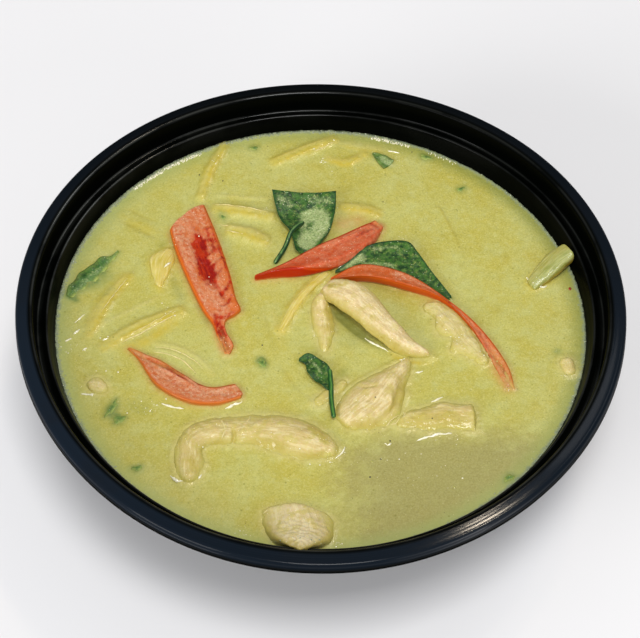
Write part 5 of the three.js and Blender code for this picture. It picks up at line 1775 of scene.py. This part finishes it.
def ground(x, y):
    """Height of whatever is highest at this place."""
    hit = GROUND.ray_cast(Vector((x, y, CURRY_LEVEL + OVER_ALL)), DOWN)[0]
    return hit.z if hit is not None else CURRY_LEVEL


DOME_SIDES = 8
DOME_ROWS = 3
DOME_END = 1.9


def dome():
    """A ball of radius 1 with a flat underside, as points and faces. DOME_END is where it is cut off."""
    around = np.linspace(0, 2 * np.pi, DOME_SIDES, endpoint=False)
    rings = [np.column_stack([math.sin(down) * np.cos(around), math.sin(down) * np.sin(around),
                              np.full(DOME_SIDES, math.cos(down))])
             for down in np.linspace(0, DOME_END, DOME_ROWS + 1)[1:]]
    under = [(0, 0, rings[-1][0, 2])]
    return np.vstack([[(0, 0, 1)], *rings, under]), skin_faces(DOME_ROWS, DOME_SIDES)


DOME = dome()


def beads(name, places, finish, slot, flat=0.7):
    """Many domes as one piece. Each place is x, y, z, radius, and how much longer it is along y."""
    bodies = []
    for x, y, z, radius, longer in places:
        bodies.append((DOME[0] * [radius, radius * longer, radius * flat] + [x, y, z], DOME[1]))
    bead_points, bead_faces = join(*bodies)
    make_piece(name, bead_points, bead_faces, finish)
    print(name + ":", len(bodies))


# How far a thread strays from its line, and how high it can climb over what it crosses, in mm.
THREAD_WANDER = 0.3
THREAD_CLIMB = 0.7


def threads(name, lines, finish):
    """Thin tapered threads as one piece. Each is a line on the surface with the radius of its middle."""
    bodies = []
    for path, radius in lines:
        line, _ = along_path(smooth_path(path), np.linspace(0, 1, 5 * len(path)))
        flat = np.column_stack([line, 0 * line[:, :1]])
        line = line + THREAD_WANDER * np.stack([lumps(flat, 1.6, seed) for seed in (81, 82)], axis=1)
        levels = np.array([ground(x, y) for x, y in line])
        levels = np.minimum(levels, levels.min() + THREAD_CLIMB) + 0.2 * radius
        raised = np.column_stack([line, levels])
        bodies.append(closed(rod(raised, radius, ends=99, step=0.22, count=8, uneven=0.9)["points"]))
    thread_points, thread_faces = join(*bodies)
    make_piece(name, thread_points, thread_faces, finish)
    print(name + ":", len(bodies))


def plain_finish(name, colour, roughness=0.3, coat=0.5):
    """One colour with a little grain in it, for things too small to show more."""
    finish = Finish(name)
    grain = finish.grain(0.6, detail=2)
    finish.set(Base_Color=finish.mix(grain.between(0.35, 0.65) * 0.18, colour, srgb(20, 20, 8)))
    finish.set(Roughness=roughness, Coat_Weight=coat, Coat_Roughness=0.06)
    return finish


# %% Wet light: painted glints and highlights
# Painted glints: near-white beads and threads put where wet edges catch the light.
GLINT_WHITE = plain_finish("painted_glint_white", srgb(246, 240, 206), 0.2, 1.0)
# Painted highlights: pale threads along the edges of strips and along folds of the chicken.
PALE_HIGHLIGHT = plain_finish("painted_highlight_pale", srgb(224, 208, 140), 0.3, 0.6)
GLINT_LINES = [
    ([[13.6, -5.2], [16, -7.2], [18.4, -9], [20.8, -10.6]], 0.36),
    ([[28, -43.2], [31, -42], [35, -40.9], [38.4, -40.6]], 0.4),
    ([[18.8, -43.8], [19.8, -44.6], [20.9, -43.9]], 0.26),
    ([[32.8, -29.2], [36.6, -27.4]], 0.3),
    ([[-46.6, -29.6], [-43.1, -30.9], [-39.8, -31.6]], 0.36),
    ([[-27.8, -31.6], [-25.2, -30.1], [-22.9, -29]], 0.36),
    ([[4.4, -49.6], [6.2, -47.8], [7.4, -45]], 0.3),
    ([[-42.9, -55.2], [-41.2, -57], [-39, -57.4]], 0.4),
    ([[-34.6, -56.6], [-33.8, -55]], 0.3),
    ([[5, 20.8], [7.6, 23], [10.4, 25.4]], 0.2),
    ([[66.1, 15.2], [68.5, 14.4], [70.1, 15]], 0.3),
    ([[-74.4, 0.6], [-72.8, 2.4], [-71.4, 4]], 0.3),
    ([[-74.4, -3.8], [-72.6, -1.8]], 0.3),
    ([[-76.8, -6.7], [-74.9, -5.4]], 0.3),
    ([[-71.4, -10.1], [-70, -9]], 0.3),
    ([[-65.4, -6], [-63.6, -5.4]], 0.26),
    ([[-48, 21.2], [-46.2, 23.8]], 0.24),
    ([[23.6, -13.8], [26.4, -14]], 0.28),
    ([[28.6, -18.6], [30.8, -17.8]], 0.28),
    ([[-70.4, -26.2], [-66.8, -26.6]], 0.3),
    ([[22, 71.6], [26, 70.4]], 0.3),
]
# Lines of painted highlight, each a line on the surface with the radius of its middle.
PALE_HIGHLIGHT_LINES = [
    ([[-33.4, 48], [-25.2, 46.7], [-15.4, 44.6]], 0.14),
    ([[-31.4, 39.8], [-24, 37.3], [-17, 34.8]], 0.2),
    ([[-30, 37], [-24.2, 35.2], [-18.4, 32.6]], 0.14),
    ([[-60, -7.4], [-51, -1.6], [-43.4, 3.6]], 0.18),
    ([[-57, -4.2], [-50, 0.4], [-44, 5.4]], 0.14),
    ([[-66.4, 4.4], [-62.8, 11.6], [-59.2, 18]], 0.14),
    ([[20.8, -37.7], [22.6, -36.6], [24.4, -35.2], [25.3, -33.4]], 0.22),
    ([[19.4, -38.1], [21.2, -35.9], [23.3, -34.1]], 0.2),
    ([[-1.8, 71], [1.5, 72.7], [4.7, 74.9]], 0.18),
    ([[-28.6, -36.4], [-27.6, -40], [-28.2, -43.2]], 0.3),
    ([[-20.2, -35.8], [-22, -39], [-22.6, -42.6]], 0.28),
    ([[-50, -10.4], [-45.2, -11.4], [-40.4, -14.4], [-36.6, -19]], 0.22),
    ([[-49.6, -8.4], [-44.4, -9.4], [-39.2, -12.2], [-34.6, -17]], 0.16),
    ([[-14.8, -66.6], [-12.2, -68.6], [-9.6, -68]], 0.2),
    ([[-16.2, -68.6], [-13, -67.4], [-10.6, -66.6]], 0.2),
]
threads("glint_lines", GLINT_LINES, GLINT_WHITE)
threads("pale_highlight_lines", PALE_HIGHLIGHT_LINES, PALE_HIGHLIGHT)

# %% Sparkling beads, painted glints
SPARKS = [
    (0.8, 67.4), (0.6, 66.6), (-77.8, -8.6), (-76.1, -10.5), (-75.5, -10.9), (-70.5, -9.8),
    (-66.2, -5.2), (-63.9, -4.8), (-66.6, -17.6), (-63.7, -17.6), (-60.1, -18), (-69, -26.5),
    (-67.2, -26.8), (-48.2, 8.3), (-44, 2.9), (-63.3, 10.7),
    (-49.8, -32.3), (-47.9, -30.1), (-45.3, -27.9), (-52.6, -28.7), (-56.5, -33), (-5.7, -47.2),
    (-2.8, -51.3), (0.1, -51.6), (3, -50.6), (7.3, -47.1), (29.4, -47.6), (23, -49.4), (41, -56),
    (-33.8, -45.8), (-22.4, -73.8), (-20.7, -75.1), (4.6, -79.1), (6.3, -78.1), (35.6, 0.1), (38.2, -3),
    (39.6, -5.2), (42, -6), (36.6, 1.7), (48.1, -11.3), (49.2, -12.8), (64, 18.1), (68, 14.2),
    (65.6, 14.9), (64.2, 16.9), (1.1, 68.2), (0.5, 66.5), (4, 62.6), (-37.7, 33.5), (-34, 17.3),
    (-33.3, 13.8), (1.8, 66.6), (-1.8, 71.9), (4.7, 75.9),
]
# Clusters of smaller ones: the middle, how far they spread, and how many there are.
CLUSTERS = [
    ((-46.4, 4.6), 3, 12), ((30, -50), 14, 16), ((2.6, -50.4), 3.6, 12), ((38, 0), 3.4, 14),
    ((41.6, -6.4), 3, 12), ((-50, -31), 4.2, 10), ((-22, -74.4), 2.4, 8), ((5.4, -78.4), 2.2, 8),
    ((27, -36), 3, 10), ((40, -38.4), 3.4, 10), ((-16.8, 45.6), 2.4, 8), ((8.4, 47.2), 3.6, 8),
    ((-4, 49), 3.4, 10), ((0.6, 36), 3.4, 12), ((-11.6, 47.6), 2, 6), ((10.6, 26.6), 2.6, 6),
    ((26, 34.2), 2.4, 6), ((66.4, 15.4), 1.8, 8), ((-70.6, -24.4), 2, 6), ((73.4, -20), 2, 6),
    ((-29, -6), 2.4, 8), ((55.6, -24.4), 1.8, 8), ((-74.6, -8.8), 2.2, 6), ((-33.4, 66.6), 2, 10),
    ((1.8, 67), 2.4, 8), ((26, 66.6), 2, 8), ((-45.6, 31), 2, 6), ((-1.8, -4), 1.6, 6),
]


def on_ground(places, low, high, sink=0.1):
    """Random sizes for beads at these places, set on what lies there."""
    sizes = DRAW.uniform(low, high, len(places))
    return [(x, y, ground(x, y) - sink * size, size, 1.0) for (x, y), size in zip(places, sizes)]


def at_wall(angle, inwards):
    """The place at this angle that lies so far in from where the curry meets the wall."""
    out = wall_radius(CURRY_LEVEL) * softening(angle, CURRY_LEVEL)[0] - inwards
    return out * math.cos(angle), out * math.sin(angle)


scattered = [tuple(DRAW.normal(at, spread / 2)) for at, spread, count in CLUSTERS for _ in range(count)]
# The least and the greatest radius of a bead, in mm.
LARGE, SMALL = (0.18, 0.3), (0.07, 0.16)
beads("sparks", on_ground(SPARKS, *LARGE) + on_ground(scattered, *SMALL), GLINT_WHITE, "green_curry")

# Stretches of the wall with a line of painted glitter, near-white beads, and the number of beads in each.
EDGE_LIGHT = [([[-59, 54.5], [-51.4, 62.3], [-45.1, 67.1], [-38.8, 71]], 190),
              ([[17.1, 77.6], [23, 76], [29.2, 73.6]], 90),
              ([[36, 71.9], [43.7, 65.3]], 20)]
glitter = []
for path, count in EDGE_LIGHT:
    for x, y in along_path(smooth_path(path), np.sort(DRAW.random(count)))[0]:
        place = at_wall(math.atan2(y, x), DRAW.uniform(0.5, 1.5))
        size = DRAW.uniform(0.1, 0.22)
        glitter.append((*place, ground(*place) - 0.1 * size, size, DRAW.uniform(1.2, 2.8)))
beads("edge_glitter", glitter, GLINT_WHITE, "green_curry")

# %% Froth against the wall, and bubbles
FROTH = plain_finish("dried_froth", srgb(150, 156, 126), 0.35, 0.4)
FROTH_BEADS = 900
# Most of the froth lies on the far and the left side, between these angles.
FROTHY = (70, 262)
froth = []
for _ in range(FROTH_BEADS):
    angle = DRAW.choice([DRAW.uniform(*FROTHY), DRAW.uniform(0, 360)], p=[0.75, 0.25])
    place = at_wall(math.radians(angle), abs(DRAW.normal(0.25, 0.5)))
    size = DRAW.uniform(0.12, 0.3)
    froth.append((*place, ground(*place) - 0.2 * size, size, 1.0))
beads("wall_froth", froth, FROTH, "green_curry")

BUBBLE = plain_finish("bubble_skin", srgb(176, 172, 88), 0.05, 1.0)
BUBBLES = [(-56.6, -27.9), (-54.7, -29), (-52.6, -30.1), (-50.8, -31.2), (-49.2, -32.7), (-55.5, -31.6),
           (-53.3, -32.7), (15.2, -50.2), (40.8, -50.4), (6.8, -66), (13.6, -67), (38.6, -59)]
beads("bubbles", on_ground(BUBBLES, 0.45, 0.8, sink=0.5), BUBBLE, "green_curry", flat=0.6)

SPECK = plain_finish("dark_speck", srgb(52, 48, 16), 0.4, 0.2)
SPECKS = [(20.5, -43), (32.9, -36.3), (17.7, -49.4), (14.5, -55.6), (20.2, 49.4), (-17.3, -7.9),
          (30, 71), (16.4, -29.6), (-38.6, 61), (-31, 58.4)]
beads("dark_specks", on_ground(SPECKS, 0.28, 0.42, sink=0.3), SPECK, "basil_leaf", flat=0.5)

RED = plain_finish("red_fleck", srgb(150, 38, 8), 0.3, 0.4)
RED_AT = (77.0, 13.8)
beads("red_flecks", [(*RED_AT, ground(*RED_AT), 0.5, 1.3)], RED, "red_pepper", flat=0.6)

# %% [markdown]
# ## Floor and light
#
# The bowl stands on white paper. One lamp hangs high over its near side, and a broad one stands low at
# the near left, like a window. A third, low at the near right, lightens the shadow under the rim, and a
# fourth, at the far right, lightens that side of the food. The two smallest are warm, and hang just where
# the glossy patch of the flange mirrors them to the eye, as thin bright streaks.

# %% Floor
floor_mesh = bpy.data.meshes.new("floor")
FLOOR_HALF = 4.0
corners = [(x * FLOOR_HALF, y * FLOOR_HALF, 0) for x, y in ((-1, -1), (1, -1), (1, 1), (-1, 1))]
floor_mesh.from_pydata(corners, [], [(0, 1, 2, 3)])
floor = bpy.data.objects.new("floor", floor_mesh)
bpy.context.scene.collection.objects.link(floor)
paper = Finish("white_paper")
paper.set(Base_Color=srgb(232, 231, 232), Roughness=0.9, Specular_IOR_Level=0.2)
floor_mesh.materials.append(paper.material)

# %% Lamps


def lamp(name, azimuth, elevation, size, power, colour):
    """A square lamp that faces the bowl. The angles, in degrees, say where it hangs, seen from the bowl."""
    light = bpy.data.lights.new(name, "AREA")
    light.size = size
    light.energy = power
    light.color = colour
    placed = bpy.data.objects.new(name, light)
    bpy.context.scene.collection.objects.link(placed)
    around, up = math.radians(azimuth), math.radians(elevation)
    way = Vector((math.cos(up) * math.cos(around), math.cos(up) * math.sin(around), math.sin(up)))
    placed.location = AIM + way * LAMP_DISTANCE
    placed.rotation_mode = "QUATERNION"
    placed.rotation_quaternion = (-way).to_track_quat("-Z", "Y")


# Every lamp faces this point from the same distance, in metres.
AIM = Vector((0, 0, 0.05))
LAMP_DISTANCE = 2.5
WHITE = (1, 1, 1)
WARM = (1, 0.86, 0.66)
# Each lamp: its azimuth and elevation, its size in metres, its watts and its colour.
LAMPS = {
    "overhead": (279, 70, 0.7, 35.5, WHITE),
    "window": (224, 24, 1.2, 33, WHITE),
    "low_front": (308, 18, 1.2, 11, WHITE),
    "far_right": (42, 54, 0.6, 4.2, WHITE),
    "glint": (57, 66.6, 0.12, 2.2, WARM),
    "inner_glint": (38, 69.6, 0.12, 1.6, WARM),
}
for name, settings in LAMPS.items():
    lamp(name, *settings)
print("lamps:", len(LAMPS))

world = bpy.data.worlds.new("room")
bpy.context.scene.world = world
world.use_nodes = True
background = world.node_tree.nodes["Background"]
SKYLIGHT = (0.93, 0.96, 1.0, 1.0)
SKYLIGHT_STRENGTH = 0.355
background.inputs["Color"].default_value = SKYLIGHT
background.inputs["Strength"].default_value = SKYLIGHT_STRENGTH
bpy.context.scene.view_settings.view_transform = "Standard"
